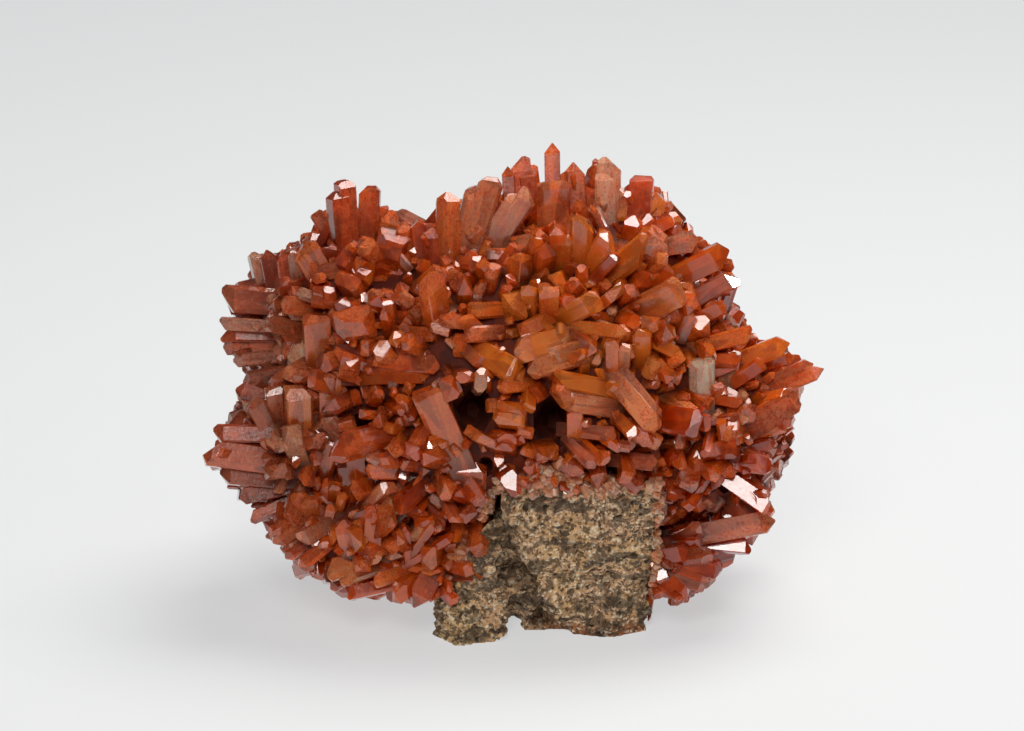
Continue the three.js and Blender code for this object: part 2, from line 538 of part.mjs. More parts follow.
// The point of the sphere that each corner of a block takes, so that the corner stays sharp
function sharpCorners(points, centre, places) {
  const sharp = new Map();
  for (const point of points) {
    const wanted = point.clone().sub(centre).normalize();
    let best = null;
    for (let i = 0; i < places.count; i += 1) {
      const ray = new THREE.Vector3().fromBufferAttribute(places, i).normalize();
      if (best === null || ray.dot(wanted) > best.dot(wanted)) best = ray;
    }
    sharp.set(directionKey(best), point);
  }
  return sharp;
}

// A rock lump: a sphere drawn onto a convex block, then broken inward into coarse grains
function rockLump(corners, detail, seed, grown) {
  const points = corners.map((corner) => new THREE.Vector3(...corner));
  const centre = new THREE.Vector3();
  points.forEach((point) => centre.addScaledVector(point, 1 / points.length));
  const block = new ConvexGeometry(points).attributes.position;
  const planes = [];
  for (let i = 0; i < block.count; i += 3) {
    const triangle = new THREE.Triangle(
      new THREE.Vector3().fromBufferAttribute(block, i),
      new THREE.Vector3().fromBufferAttribute(block, i + 1),
      new THREE.Vector3().fromBufferAttribute(block, i + 2),
    );
    const normal = triangle.getNormal(new THREE.Vector3());
    planes.push({ normal, offset: normal.dot(triangle.a.clone().sub(centre)) });
  }
  const ball = new THREE.IcosahedronGeometry(1, detail);
  const places = ball.attributes.position;
  const sharp = sharpCorners(points, centre, places);
  for (let i = 0; i < places.count; i += 1) {
    const ray = new THREE.Vector3().fromBufferAttribute(places, i).normalize();
    const corner = sharp.get(directionKey(ray));
    if (corner) {
      places.setXYZ(i, ...corner.clone().addScaledVector(ray, grown).toArray());
      continue;
    }
    let radius = Infinity;
    for (const { normal, offset } of planes) {
      const facing = normal.dot(ray);
      if (facing > 1e-6) radius = Math.min(radius, offset / facing);
    }
    const surface = centre.clone().addScaledVector(ray, radius);
    const grain = ROCK_GRAINS.reduce(
      (sum, [size, share], level) => sum + share * noise(surface, size, seed + level),
      0,
    );
    surface.addScaledVector(ray, grown - ROCK_ROUGHNESS * grain * (grown > 0 ? SMOOTH_SHARE : 1));
    places.setXYZ(i, surface.x, surface.y, surface.z);
  }
  return toSolid(ball);
}

function rockSolid(grown) {
  const breaks = [BREAK_HOLLOW, FRONT_ARCH].map(
    (corners) => toSolid(new ConvexGeometry(corners.map((corner) => new THREE.Vector3(...corner)))),
  );
  const slab = new THREE.BoxGeometry(FLOOR_SIDE, FLOOR_SIDE, FLOOR_SIDE);
  const floor = toSolid(slab.translate(0, 0, -FLOOR_SIDE / 2));
  const lumps = wasm.Manifold.union([
    rockLump(FRONT_BLOCK, 3, 11, grown),
    rockLump(LEFT_LOBE, 3, 23, grown),
    rockLump(BACK_SLAB, 2, 37, grown),
  ]);
  return grown > 0 ? lumps : lumps.subtract(wasm.Manifold.union([...breaks, floor]));
}

function crystalMass() {
  const listed = listedCrystals();
  const filled = filledCrystals(listed);
  const crystals = [...listed, ...filled].map(
    ({ root, tip, width, thickness, turn, kind }) => crystalSolid(root, tip, width, thickness, turn, kind),
  );
  const crust = wasm.Manifold.union(MASSES.map((mass, index) => massSolid(mass, 60 + index)));
  const hollows = wasm.Manifold.union(HOLLOWS.map(hollowSolid));
  const grown = wasm.Manifold.union([crust.subtract(hollows), ...crystals]);
  return largestPiece(grown.subtract(rockSolid(GAP)));
}

function namedMesh(name, solid, colour, roughness) {
  const material = new THREE.MeshStandardMaterial({ color: colour, roughness, metalness: 0 });
  const mesh = new THREE.Mesh(toGeometry(solid), material);
  mesh.name = name;
  return mesh;
}

const hopeite = new THREE.Group();
hopeite.add(namedMesh('matrix_rock', largestPiece(rockSolid(0)), ROCK_COLOUR, 0.95));
hopeite.add(namedMesh('hopeite_crystals', crystalMass(), HOPEITE_COLOUR, 0.3));

export default hopeite;
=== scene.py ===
"""Hopeite specimen: stubby orange-brown crystals grown together over a block of porous rock.

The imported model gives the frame. Every size below is in millimetres unless it says otherwise,
and places on the front of the specimen are given as seen from the front: across, up and near,
the last counted toward the viewer.
"""

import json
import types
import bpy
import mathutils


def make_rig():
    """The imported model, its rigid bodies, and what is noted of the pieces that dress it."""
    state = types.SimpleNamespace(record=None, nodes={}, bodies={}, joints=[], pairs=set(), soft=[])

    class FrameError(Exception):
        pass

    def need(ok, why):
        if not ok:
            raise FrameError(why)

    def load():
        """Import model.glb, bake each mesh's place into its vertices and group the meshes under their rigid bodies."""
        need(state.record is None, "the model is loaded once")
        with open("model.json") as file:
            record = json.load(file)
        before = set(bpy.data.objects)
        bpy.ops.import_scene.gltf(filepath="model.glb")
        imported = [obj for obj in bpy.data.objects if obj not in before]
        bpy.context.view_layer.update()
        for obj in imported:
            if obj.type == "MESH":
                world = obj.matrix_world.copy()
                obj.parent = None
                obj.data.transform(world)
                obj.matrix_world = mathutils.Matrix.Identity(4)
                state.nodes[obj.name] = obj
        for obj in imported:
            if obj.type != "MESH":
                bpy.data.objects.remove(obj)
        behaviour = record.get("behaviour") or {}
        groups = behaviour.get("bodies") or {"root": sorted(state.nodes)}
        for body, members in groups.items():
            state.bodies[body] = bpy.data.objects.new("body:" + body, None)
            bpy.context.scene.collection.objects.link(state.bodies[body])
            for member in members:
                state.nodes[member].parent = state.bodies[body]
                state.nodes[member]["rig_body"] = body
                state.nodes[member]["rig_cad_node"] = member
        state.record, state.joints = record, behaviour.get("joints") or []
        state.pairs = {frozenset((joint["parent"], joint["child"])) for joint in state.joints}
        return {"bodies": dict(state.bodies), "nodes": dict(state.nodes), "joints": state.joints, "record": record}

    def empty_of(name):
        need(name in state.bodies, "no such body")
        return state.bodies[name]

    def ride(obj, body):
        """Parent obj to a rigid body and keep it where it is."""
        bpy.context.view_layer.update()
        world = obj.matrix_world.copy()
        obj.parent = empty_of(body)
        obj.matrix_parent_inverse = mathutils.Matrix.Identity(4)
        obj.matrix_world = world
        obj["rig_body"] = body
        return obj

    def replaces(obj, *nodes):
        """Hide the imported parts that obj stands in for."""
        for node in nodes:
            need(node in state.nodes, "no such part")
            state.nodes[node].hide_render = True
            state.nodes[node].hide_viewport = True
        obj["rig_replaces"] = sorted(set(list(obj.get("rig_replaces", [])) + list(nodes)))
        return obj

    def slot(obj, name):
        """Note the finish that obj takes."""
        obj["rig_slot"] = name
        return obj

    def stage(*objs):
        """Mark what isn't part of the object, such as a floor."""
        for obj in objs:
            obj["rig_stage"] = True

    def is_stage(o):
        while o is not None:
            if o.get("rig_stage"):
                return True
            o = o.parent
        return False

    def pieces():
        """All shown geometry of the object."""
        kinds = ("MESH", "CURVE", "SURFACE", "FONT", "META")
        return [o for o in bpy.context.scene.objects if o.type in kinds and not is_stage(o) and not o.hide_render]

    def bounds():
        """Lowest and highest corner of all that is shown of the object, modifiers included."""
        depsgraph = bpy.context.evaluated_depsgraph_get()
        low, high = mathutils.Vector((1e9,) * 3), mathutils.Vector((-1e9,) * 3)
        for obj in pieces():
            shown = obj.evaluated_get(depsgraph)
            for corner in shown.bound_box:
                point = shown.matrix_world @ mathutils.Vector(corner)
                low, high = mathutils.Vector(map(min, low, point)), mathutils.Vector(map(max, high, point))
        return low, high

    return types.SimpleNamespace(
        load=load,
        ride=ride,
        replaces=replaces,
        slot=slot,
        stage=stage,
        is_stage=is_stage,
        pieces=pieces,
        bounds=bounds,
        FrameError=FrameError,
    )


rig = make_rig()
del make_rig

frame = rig.load()

import json
import logging
import math
from dataclasses import dataclass, field, replace
from enum import Enum
from typing import Callable, Iterable, Optional, Sequence

import bmesh
import bpy
import numpy as np
from mathutils import Matrix, Quaternion, Vector, noise
from mathutils.bvhtree import BVHTree

MM = 0.001
VIEW_TILT = math.radians(20.0)
VIEW_UP = Vector((0.0, math.sin(VIEW_TILT), math.cos(VIEW_TILT)))
VIEW_NEAR = Vector((0.0, -math.cos(VIEW_TILT), math.sin(VIEW_TILT)))

ROOT_DEPTH = 3.2
FLOOR_CLEARANCE = 0.7
FRONT_LIMIT = -17.2
BACK_DEPTH = 9.0
NOISE_SEED = 7
FILL_COUNT = 250
FILL_SPACING = 4.8
BODY_CENTRE = Vector((-3.0, 22.7, 7.2))
WEDGE = 0.55
SHOWN_FROM = 0.25

LOG = logging.getLogger("hopeite")

# Rounded masses of crust: centre across, up and near, then the three radii
MASSES: tuple[tuple[float, ...], ...] = (
    (-3.0, 22.7, 7.2, 24.0, 16.5, 15.0),
    (5.5, 31.5, 7.0, 11.5, 9.0, 11.0),
    (-19.8, 29.8, 7.0, 8.6, 7.0, 9.5),
    (-25.0, 16.0, 7.0, 5.8, 7.0, 9.0),
    (16.0, 17.5, 6.0, 8.6, 9.0, 11.0),
    (-18.5, 7.2, 7.5, 7.6, 5.2, 8.5),
    (12.4, 4.6, 5.5, 4.6, 4.6, 7.5),
    (-11.5, 4.6, 9.0, 5.5, 4.0, 6.0),
)

# Deep hollows between the crystals: across, up, half width, depth
HOLLOWS: tuple[tuple[float, ...], ...] = (
    (-17.9, 17.2, 1.8, 7.0),
    (-7.2, 19.3, 2.4, 8.0),
    (0.9, 18.2, 2.6, 8.0),
    (11.0, 17.6, 1.7, 6.0),
)

# Outline of the specimen from the front, across and up, clockwise from the left
OUTLINE: tuple[tuple[float, float], ...] = (
    (-32.3, 29.4), (-32.6, 27.8), (-32.3, 25.6), (-30.3, 22.0), (-31.0, 21.2), (-30.8, 19.0),
    (-33.2, 16.6), (-34.0, 15.0), (-32.8, 13.2), (-30.2, 10.7), (-29.5, 8.0), (-26.9, 5.5),
    (-24.9, 3.5), (-22.0, 2.1), (-19.6, 0.0), (-14.0, 0.0), (-11.8, -1.4), (-8.8, -4.3),
    (-3.6, -2.0), (1.5, -2.5), (7.5, -3.4), (10.4, -2.5), (13.0, -0.8), (14.8, 1.0),
    (17.4, 2.6), (21.0, 5.4), (23.2, 8.2), (22.2, 10.0), (21.2, 11.8), (22.6, 14.0),
    (23.0, 16.4), (24.4, 18.2), (25.5, 20.0), (26.0, 21.8), (27.8, 23.6), (24.6, 25.0),
    (24.4, 26.2), (21.2, 26.5), (18.2, 27.8), (17.8, 29.9), (19.0, 32.6), (18.4, 35.3),
    (15.2, 36.3), (13.0, 38.8), (12.0, 41.2), (10.4, 42.6), (7.6, 43.0), (6.4, 44.4),
    (4.2, 42.8), (2.8, 44.0), (0.7, 46.0), (-2.1, 44.7), (-5.6, 42.6), (-8.2, 40.0),
    (-9.6, 40.9), (-11.0, 37.4), (-14.6, 38.0), (-16.2, 40.3), (-17.4, 41.6), (-20.4, 42.2),
    (-21.8, 40.2), (-23.0, 38.2), (-25.6, 35.3), (-28.9, 35.1), (-30.6, 32.6),
)

# Crystals that can be told apart, in the order of the solid model: tip across and up, root across
# and up, width, thickness, rise of the tip toward the viewer, turn in degrees, kind of end
CRYSTALS: tuple[tuple, ...] = (
    # Two blocky towers at the top left, with the knobs and shoulders beside them
    (-20.4, 42.2, -20.0, 35.4, 2.8, 2.2, 0.4, 20, "blunt"),
    (-17.4, 41.6, -17.7, 35.6, 2.2, 1.8, 0.8, -15, "blunt"),
    (-15.3, 39.2, -16.8, 35.4, 2.0, 1.6, 0.6, 10, "chisel"),
    (-23.0, 39.0, -21.2, 36.0, 1.5, 1.2, 0.4, 0, "blunt"),
    (-24.2, 35.7, -22.5, 32.8, 3.0, 2.2, 1.0, 0, "chisel"),
    (-27.8, 35.3, -27.0, 31.0, 1.8, 1.4, 0.4, 0, "point"),
    (-28.9, 35.1, -27.8, 30.4, 2.0, 1.5, 0.3, 15, "chisel"),
    # Smooth lobe and stacked plates at the far left
    (-32.3, 30.4, -27.0, 30.0, 3.0, 2.2, 0.6, 0, "chisel"),
    (-32.5, 27.9, -26.0, 27.5, 1.4, 2.2, 0.4, 0, "chisel"),
    (-32.2, 25.4, -26.0, 25.4, 1.5, 2.0, 0.4, 0, "chisel"),
    (-31.2, 24.2, -26.0, 24.6, 1.6, 2.0, 0.3, 0, "chisel"),
    (-30.2, 22.2, -25.6, 23.0, 1.8, 1.5, 0.2, 0, "chisel"),
    # Upper left slope
    (-19.4, 33.4, -23.0, 32.7, 1.8, 1.2, 1.8, 10, "chisel"),
    (-22.0, 30.3, -21.6, 30.7, 2.4, 2.4, 3.0, 0, "blunt"),
    (-18.3, 32.7, -18.0, 33.2, 2.5, 2.6, 3.2, 0, "blunt"),
    (-14.8, 34.0, -15.0, 34.8, 4.6, 4.8, 3.8, 0, "blunt"),
    (-14.1, 38.0, -13.5, 34.6, 1.8, 1.5, 0.2, 0, "point"),
    (-11.4, 37.3, -11.2, 33.8, 1.6, 1.4, 0.2, 0, "chisel"),
    (-18.9, 27.6, -18.6, 28.1, 4.4, 3.5, 3.6, 0, "blunt"),
    (-22.7, 28.8, -22.5, 23.7, 3.0, 2.2, 2.2, 0, "blunt"),
    (-23.7, 23.4, -25.9, 27.0, 2.6, 2.0, 2.2, 0, "blunt"),
    (-27.7, 28.0, -24.5, 27.2, 2.0, 1.6, 1.8, 0, "blunt"),
    # Top edge
    (-9.4, 40.9, -9.5, 34.6, 2.6, 2.2, 0.4, 30, "chisel"),
    (-5.6, 42.6, -7.7, 35.6, 3.5, 2.6, 1.0, -10, "blunt"),
    (-1.7, 41.2, -5.2, 36.0, 3.0, 2.0, 1.8, 0, "chisel"),
    (-2.1, 44.6, -1.5, 38.6, 3.0, 2.2, 0.2, 0, "chisel"),
    (0.7, 46.0, 0.8, 39.0, 1.7, 1.5, 0.0, 0, "point"),
    (0.8, 41.9, 0.8, 37.0, 3.5, 1.6, 1.8, 0, "blunt"),
    (2.8, 44.0, 3.3, 38.4, 2.2, 1.6, 0.2, 0, "point"),
    (6.4, 44.4, 6.2, 38.4, 2.6, 2.0, 0.4, 0, "chisel"),
    (9.7, 42.6, 9.3, 37.4, 2.6, 2.0, 0.3, 0, "blunt"),
    (12.0, 39.7, 5.0, 39.0, 2.8, 2.2, 1.5, 0, "chisel"),
    (8.9, 38.6, 8.3, 35.6, 2.0, 1.5, 1.6, 0, "point"),
    # Fan of leaf-shaped blades below the top edge
    (1.5, 37.4, 1.5, 33.6, 2.4, 1.8, 2.6, 0, "blunt"),
    (3.7, 38.4, 3.3, 33.4, 2.6, 1.3, 2.4, 0, "blade"),
    (6.6, 36.6, 4.3, 32.6, 2.8, 1.4, 2.6, 0, "blade"),
    (10.5, 35.9, 5.5, 32.0, 2.8, 1.5, 2.6, 0, "blade"),
    # Right side
    (15.2, 36.0, 11.0, 35.4, 2.0, 1.6, 0.6, 0, "chisel"),
    (18.4, 35.1, 12.8, 32.4, 2.6, 2.0, 1.2, 0, "point"),
    (19.1, 32.6, 14.2, 30.0, 2.0, 1.6, 0.8, 0, "chisel"),
    (17.9, 29.6, 14.6, 28.0, 1.6, 1.4, 1.0, 0, "blunt"),
    (13.5, 31.2, 9.5, 29.2, 3.2, 2.4, 2.4, 0, "blunt"),
    (15.2, 27.1, 14.6, 27.4, 3.0, 2.8, 3.0, 0, "point"),
    (20.6, 26.9, 15.4, 25.6, 1.8, 1.5, 1.0, 0, "chisel"),
    (24.4, 26.0, 18.6, 23.8, 2.2, 1.7, 0.8, 0, "point"),
    (27.8, 23.7, 22.4, 21.4, 2.4, 1.8, 0.3, 0, "point"),
    (25.3, 20.5, 20.3, 17.6, 3.0, 2.2, 1.2, 0, "blunt"),
    (21.7, 24.0, 18.2, 21.6, 1.6, 1.4, 1.6, 0, "chisel"),
    (24.4, 17.9, 20.3, 17.0, 1.8, 1.4, 0.3, 0, "chisel"),
    (22.5, 13.7, 18.2, 14.2, 2.2, 1.8, 0.8, 0, "blunt"),
    (22.4, 9.4, 18.4, 12.2, 2.0, 1.5, 0.4, 0, "chisel"),
    (23.1, 8.2, 14.8, 6.6, 2.4, 1.8, 1.2, 0, "point"),
    (15.4, 24.4, 15.5, 18.8, 2.9, 1.7, 1.8, 35, "blunt"),
    (15.2, 17.7, 12.9, 13.0, 2.4, 1.8, 2.0, 0, "chisel"),
    (16.7, 9.7, 13.6, 8.6, 2.0, 1.6, 1.4, 0, "point"),
    (9.5, 27.4, 9.5, 24.4, 2.2, 1.8, 2.6, 0, "blunt"),
    # Lower right corner beside the rock
    (20.7, 5.5, 15.6, 6.0, 1.8, 1.5, 0.4, 0, "chisel"),
    (17.5, 2.7, 13.6, 4.0, 2.4, 1.9, 0.8, 0, "blunt"),
    (14.6, 5.2, 11.6, 4.6, 2.0, 1.7, 1.6, 0, "chisel"),
    (14.2, 0.4, 11.8, 2.4, 2.2, 1.6, 0.8, 0, "chisel"),
    # Centre
    (-3.2, 29.2, -2.9, 29.7, 2.6, 3.0, 3.2, 0, "point"),
    (0.3, 31.3, 0.3, 28.8, 2.2, 1.6, 3.2, 0, "blunt"),
    (5.3, 30.2, 1.7, 28.4, 2.4, 1.8, 3.4, 0, "chisel"),
    (-3.0, 25.0, 2.3, 26.2, 2.8, 2.0, 3.2, 0, "chisel"),
    (-2.0, 23.4, 4.0, 25.0, 2.8, 2.0, 3.2, 0, "point"),
    (0.7, 22.4, 6.0, 21.4, 2.0, 1.6, 3.4, 0, "chisel"),
    (2.0, 20.2, 5.5, 19.7, 2.4, 1.8, 2.4, 0, "blunt"),
    (11.2, 17.6, 6.7, 23.0, 3.0, 2.2, 3.0, 0, "blunt"),
    (11.0, 14.0, 7.0, 14.4, 1.8, 1.5, 1.8, 0, "chisel"),
    (-7.5, 29.0, -4.0, 29.2, 1.8, 1.5, 2.4, 0, "blunt"),
    (-7.9, 26.7, -4.0, 26.9, 1.8, 1.5, 2.4, 0, "blunt"),
    (-2.8, 23.0, -6.5, 25.0, 2.6, 2.0, 3.0, 0, "blunt"),
    (-3.6, 19.1, -3.3, 18.4, 3.5, 2.6, 2.8, 0, "blunt"),
    (-4.4, 16.6, -4.2, 15.9, 3.3, 2.0, 2.4, 0, "chisel"),
    (-11.8, 21.4, -8.8, 14.7, 3.4, 1.8, 2.8, 0, "blunt"),
    (-10.3, 24.0, -17.7, 24.2, 2.8, 2.2, 2.6, 0, "chisel"),
    # Left flank
    (-19.4, 23.2, -19.2, 23.5, 2.2, 2.8, 3.2, 0, "point"),
    (-21.0, 23.3, -21.0, 19.0, 2.8, 2.1, 2.4, 0, "blunt"),
    (-24.5, 21.6, -24.4, 16.8, 2.9, 2.4, 2.4, 0, "blunt"),
    (-29.0, 20.4, -27.0, 16.2, 2.2, 1.8, 1.4, 0, "chisel"),
    (-26.9, 21.6, -26.7, 18.4, 2.0, 1.8, 1.8, 0, "blunt"),
    (-30.8, 21.4, -27.2, 20.0, 1.8, 1.5, 0.4, 0, "chisel"),
    (-34.0, 15.2, -27.0, 14.2, 3.2, 2.6, 0.8, 0, "blade"),
    (-33.0, 16.9, -26.6, 16.8, 2.0, 2.0, 0.6, 0, "chisel"),
    (-32.4, 12.9, -27.0, 12.4, 2.2, 2.0, 0.6, 0, "chisel"),
    (-30.4, 10.5, -26.4, 11.4, 1.8, 1.5, 0.5, 0, "chisel"),
    (-29.5, 8.3, -25.2, 10.2, 1.5, 1.3, 0.4, 0, "chisel"),
    (-21.7, 16.6, -25.5, 16.0, 2.4, 1.8, 2.2, 0, "chisel"),
    (-20.8, 16.9, -22.3, 12.5, 2.2, 1.7, 2.4, 0, "chisel"),
    (-19.5, 16.4, -19.0, 10.7, 3.0, 2.2, 2.4, 0, "point"),
    (-15.5, 18.0, -16.5, 12.2, 2.6, 1.8, 2.4, 0, "chisel"),
    (-11.6, 15.4, -14.9, 9.0, 3.3, 2.4, 3.0, 0, "blunt"),
    (-7.7, 14.4, -7.7, 10.9, 4.0, 2.4, 2.6, 0, "chisel"),
    # Lower left
    (-25.5, 12.2, -23.8, 10.2, 1.8, 1.4, 1.4, 0, "chisel"),
    (-23.5, 10.5, -23.2, 8.4, 2.0, 1.6, 2.0, 0, "blunt"),
    (-24.5, 6.2, -21.8, 7.6, 1.8, 1.4, 1.4, 0, "chisel"),
    (-27.0, 5.8, -23.6, 8.2, 1.5, 1.3, 0.5, 0, "chisel"),
    (-20.0, 8.4, -19.5, 5.6, 2.0, 1.5, 2.2, 0, "point"),
    (-17.0, 9.7, -17.3, 6.2, 2.0, 1.5, 2.4, 0, "chisel"),
    (-21.7, 2.6, -17.5, 4.0, 3.2, 2.0, 1.8, 0, "chisel"),
    (-19.8, 0.9, -13.5, 2.2, 1.5, 1.6, 1.0, 0, "chisel"),
    (-10.2, 3.0, -13.8, 3.6, 1.2, 1.6, 2.0, 0, "blade"),
    # Small crystals along the upper edge of the rock
    (-1.0, 15.2, -0.5, 12.7, 1.6, 1.3, 1.8, 0, "point"),
    (9.6, 13.4, 8.6, 11.2, 1.6, 1.4, 1.6, 0, "chisel"),
)

# Smaller crystals of the front, with the same columns
SMALL_CRYSTALS: tuple[tuple, ...] = (
    (-26.2, 35.0, -25.8, 31.4, 1.5, 1.2, 0.5, 0, "point"),
    (-32.4, 26.6, -26.0, 26.5, 1.3, 2.4, 0.6, 0, "chisel"),
    (-20.2, 30.0, -19.6, 28.2, 1.6, 1.3, 3.2, 0, "chisel"),
    (-15.5, 30.2, -15.5, 26.8, 1.3, 1.1, 3.0, 0, "blunt"),
    (-10.5, 28.2, -14.5, 28.4, 1.6, 1.3, 2.2, 0, "chisel"),
    (-10.8, 26.7, -14.6, 26.9, 1.6, 1.3, 2.2, 0, "chisel"),
    (-26.2, 29.7, -23.1, 29.4, 2.0, 1.2, 1.8, 0, "chisel"),
    (-12.7, 37.9, -12.4, 34.4, 1.8, 1.4, 0.2, 0, "chisel"),
    (12.8, 38.2, 10.0, 36.6, 1.3, 1.2, 0.5, 0, "blunt"),
    (7.1, 34.6, 4.3, 31.6, 1.3, 1.2, 2.8, 0, "blunt"),
    (-3.7, 43.6, -3.5, 38.4, 1.4, 1.2, 0.0, 0, "point"),
    (-1.6, 31.6, -1.6, 29.0, 1.8, 1.4, 3.2, 0, "point"),
    (-2.6, 26.8, 0.7, 28.6, 1.8, 1.4, 3.2, 0, "chisel"),
    (8.0, 26.9, 1.5, 27.6, 1.4, 1.3, 3.2, 0, "point"),
    (6.6, 26.2, 6.6, 22.7, 1.4, 1.2, 2.8, 0, "blunt"),
    (7.9, 25.7, 7.7, 22.7, 1.3, 1.2, 2.6, 0, "blunt"),
    (13.5, 24.5, 9.7, 26.4, 1.4, 1.2, 2.0, 0, "chisel"),
    (19.3, 24.2, 16.0, 24.0, 1.8, 1.4, 1.2, 0, "chisel"),
    (24.8, 24.6, 21.5, 23.4, 1.1, 1.0, 1.0, 0, "chisel"),
    (23.0, 16.0, 20.0, 15.2, 1.3, 1.1, 0.4, 0, "point"),
    (19.5, 19.9, 16.7, 20.4, 1.2, 1.4, 1.4, 0, "chisel"),
    (19.3, 18.6, 16.7, 18.2, 1.2, 1.4, 1.2, 0, "chisel"),
    (17.0, 14.4, 13.9, 11.7, 1.4, 1.3, 1.8, 0, "chisel"),
    (17.4, 12.5, 14.1, 10.5, 1.6, 1.3, 1.6, 0, "point"),
    (16.0, 1.6, 12.6, 3.0, 1.6, 1.3, 0.4, 0, "chisel"),
    (5.7, 14.2, 3.3, 16.2, 1.4, 1.3, 2.4, 0, "blunt"),
    (6.9, 16.9, 3.3, 17.2, 1.6, 1.4, 2.4, 0, "chisel"),
    (2.9, 19.8, 2.9, 16.2, 1.8, 1.4, 2.4, 0, "chisel"),
    (2.2, 14.8, 2.3, 12.2, 1.6, 1.3, 1.6, 0, "chisel"),
    (-8.4, 25.4, -8.2, 25.8, 1.8, 2.6, 1.8, 0, "point"),
    (-4.8, 21.5, -1.5, 21.9, 1.6, 1.3, 2.4, 0, "point"),
    (-4.0, 14.0, -3.3, 12.0, 1.8, 1.4, 1.6, 0, "chisel"),
    (-11.4, 22.6, -17.2, 22.4, 1.6, 1.7, 2.2, 0, "chisel"),
    (-13.7, 16.9, -16.0, 11.2, 1.2, 2.0, 2.8, 0, "blade"),
    (-10.0, 14.4, -13.0, 8.8, 1.4, 2.2, 2.6, 0, "blade"),
    (-20.9, 12.0, -20.9, 10.2, 1.4, 1.3, 2.6, 0, "blunt"),
    (-18.6, 4.8, -15.8, 5.8, 1.8, 1.4, 2.2, 0, "point"),
    (-24.6, 3.6, -21.6, 6.0, 1.5, 1.3, 0.5, 0, "point"),
    (-25.8, 4.4, -23.0, 6.6, 1.2, 1.1, 0.5, 0, "chisel"),
    (-21.4, 1.3, -19.4, 3.0, 1.3, 1.2, 0.6, 0, "chisel"),
    (-17.0, 2.2, -13.6, 3.2, 1.5, 1.3, 2.0, 0, "chisel"),
    (-8.9, 6.9, -13.2, 4.2, 1.2, 1.6, 2.4, 0, "blade"),
    (-10.8, 8.4, -13.4, 4.8, 1.2, 1.6, 2.4, 0, "blade"),
    (-13.8, 7.9, -13.7, 4.2, 1.1, 1.5, 2.4, 0, "blade"),
    (10.1, -2.2, 10.6, 0.6, 1.0, 0.9, 1.4, 0, "point"),
)

# Crystals that are one smooth prism and not a bundle, named by tip across and up
SMOOTH_TIPS: frozenset[tuple[float, float]] = frozenset({
    (-11.8, 21.4), (23.1, 8.2), (0.8, 41.9), (-24.5, 21.6), (15.4, 24.4), (3.7, 38.4), (6.6, 36.6),
    (-29.0, 20.4), (-32.3, 30.4),
})


class CrystalEnd(Enum):
    """The ways in which a crystal ends."""

    CHISEL = "chisel"
    BLUNT = "blunt"
    BLADE = "blade"
    POINT = "point"


@dataclass(frozen=True)
class Look:
    """How one crystal departs from the plain orange-brown, each value from 0 to 1."""

    # Tone picks a colour from deep red up to the painted glow colour, and carries the painted glow and painted shade
    # that look_at adds by place.
    tone: float = 0.45
    film: float = 0.3
    pale: float = 0.0
    # Share of the dusky colour laid on as painted shade.
    painted_shade: float = 0.0

    def shifted(self, step: float) -> "Look":
        """Returns the same look with its tone moved a little."""
        return Look(min(1.0, max(0.0, self.tone + step)), self.film, self.pale, self.painted_shade)


# Looks of crystals that stand out, by tip across and up
SPECIAL_LOOKS: dict[tuple[float, float], Look] = {
    (15.4, 24.4): Look(0.6, 0.7, 1.0, 0.0),
    (-23.7, 23.4): Look(0.4, 0.9, 0.6, 0.0),
    (-11.6, 15.4): Look(0.5, 0.6, 0.5, 0.0),
    (-1.7, 41.2): Look(0.6, 0.6, 0.35, 0.0),
    (6.4, 44.4): Look(0.6, 0.7, 0.5, 0.0),
    (-5.6, 42.6): Look(0.45, 0.6, 0.15, 0.05),
    (-9.4, 40.9): Look(0.4, 0.7, 0.0, 0.0),
    (-11.8, 21.4): Look(0.55, 0.3, 0.0, 0.0),
    (0.8, 41.9): Look(0.5, 0.5, 0.1, 0.05),
    (3.7, 38.4): Look(0.85, 0.2, 0.0, 0.0),
    (6.6, 36.6): Look(0.9, 0.2, 0.0, 0.0),
    (10.5, 35.9): Look(0.9, 0.2, 0.0, 0.0),
    (12.0, 39.7): Look(0.85, 0.25, 0.0, 0.0),
    (5.3, 30.2): Look(1.0, 0.1, 0.0, 0.0),
    (-3.0, 25.0): Look(1.0, 0.15, 0.0, 0.0),
    (-2.8, 23.0): Look(0.95, 0.15, 0.0, 0.0),
    (24.4, 26.0): Look(0.85, 0.2, 0.0, 0.0),
    (13.5, 31.2): Look(0.8, 0.3, 0.1, 0.0),
    (-24.5, 21.6): Look(0.75, 0.4, 0.1, 0.0),
    (-21.7, 2.6): Look(0.95, 0.3, 0.2, 0.0),
    (23.1, 8.2): Look(0.4, 0.9, 0.05, 0.2),
    (11.2, 17.6): Look(0.6, 0.9, 0.1, 0.0),
    (-2.0, 23.4): Look(0.7, 0.8, 0.1, 0.0),
}


def stream(seed: int) -> Callable[[], float]:
    """Makes a source of numbers from 0 to 1 that is the same in every run.

    Args:
        seed: Which stream to start.

    Returns:
        A function that gives the next number.
    """
    state = ((seed + 1) * 2654435761) & 0xFFFFFFFF

    def following() -> float:
        """Gives the next number."""
        nonlocal state
        state = (state * 1664525 + 1013904223) & 0xFFFFFFFF
        return state / 4294967296

    following()
    return following


def from_view(across: float, up: float, near: float) -> Vector:
    """Turns a place seen from the front into a place in the row frame.

    Args:
        across: Millimetres to the right.
        up: Millimetres up in the tilted front view.
        near: Millimetres toward the viewer.

    Returns:
        The place in millimetres.
    """
    return Vector((across, 0.0, 0.0)) + VIEW_UP * up + VIEW_NEAR * near


def to_view(place: Vector) -> Vector:
    """Turns a place in the row frame into across, up and near."""
    return Vector((place.x, place.dot(VIEW_UP), place.dot(VIEW_NEAR)))


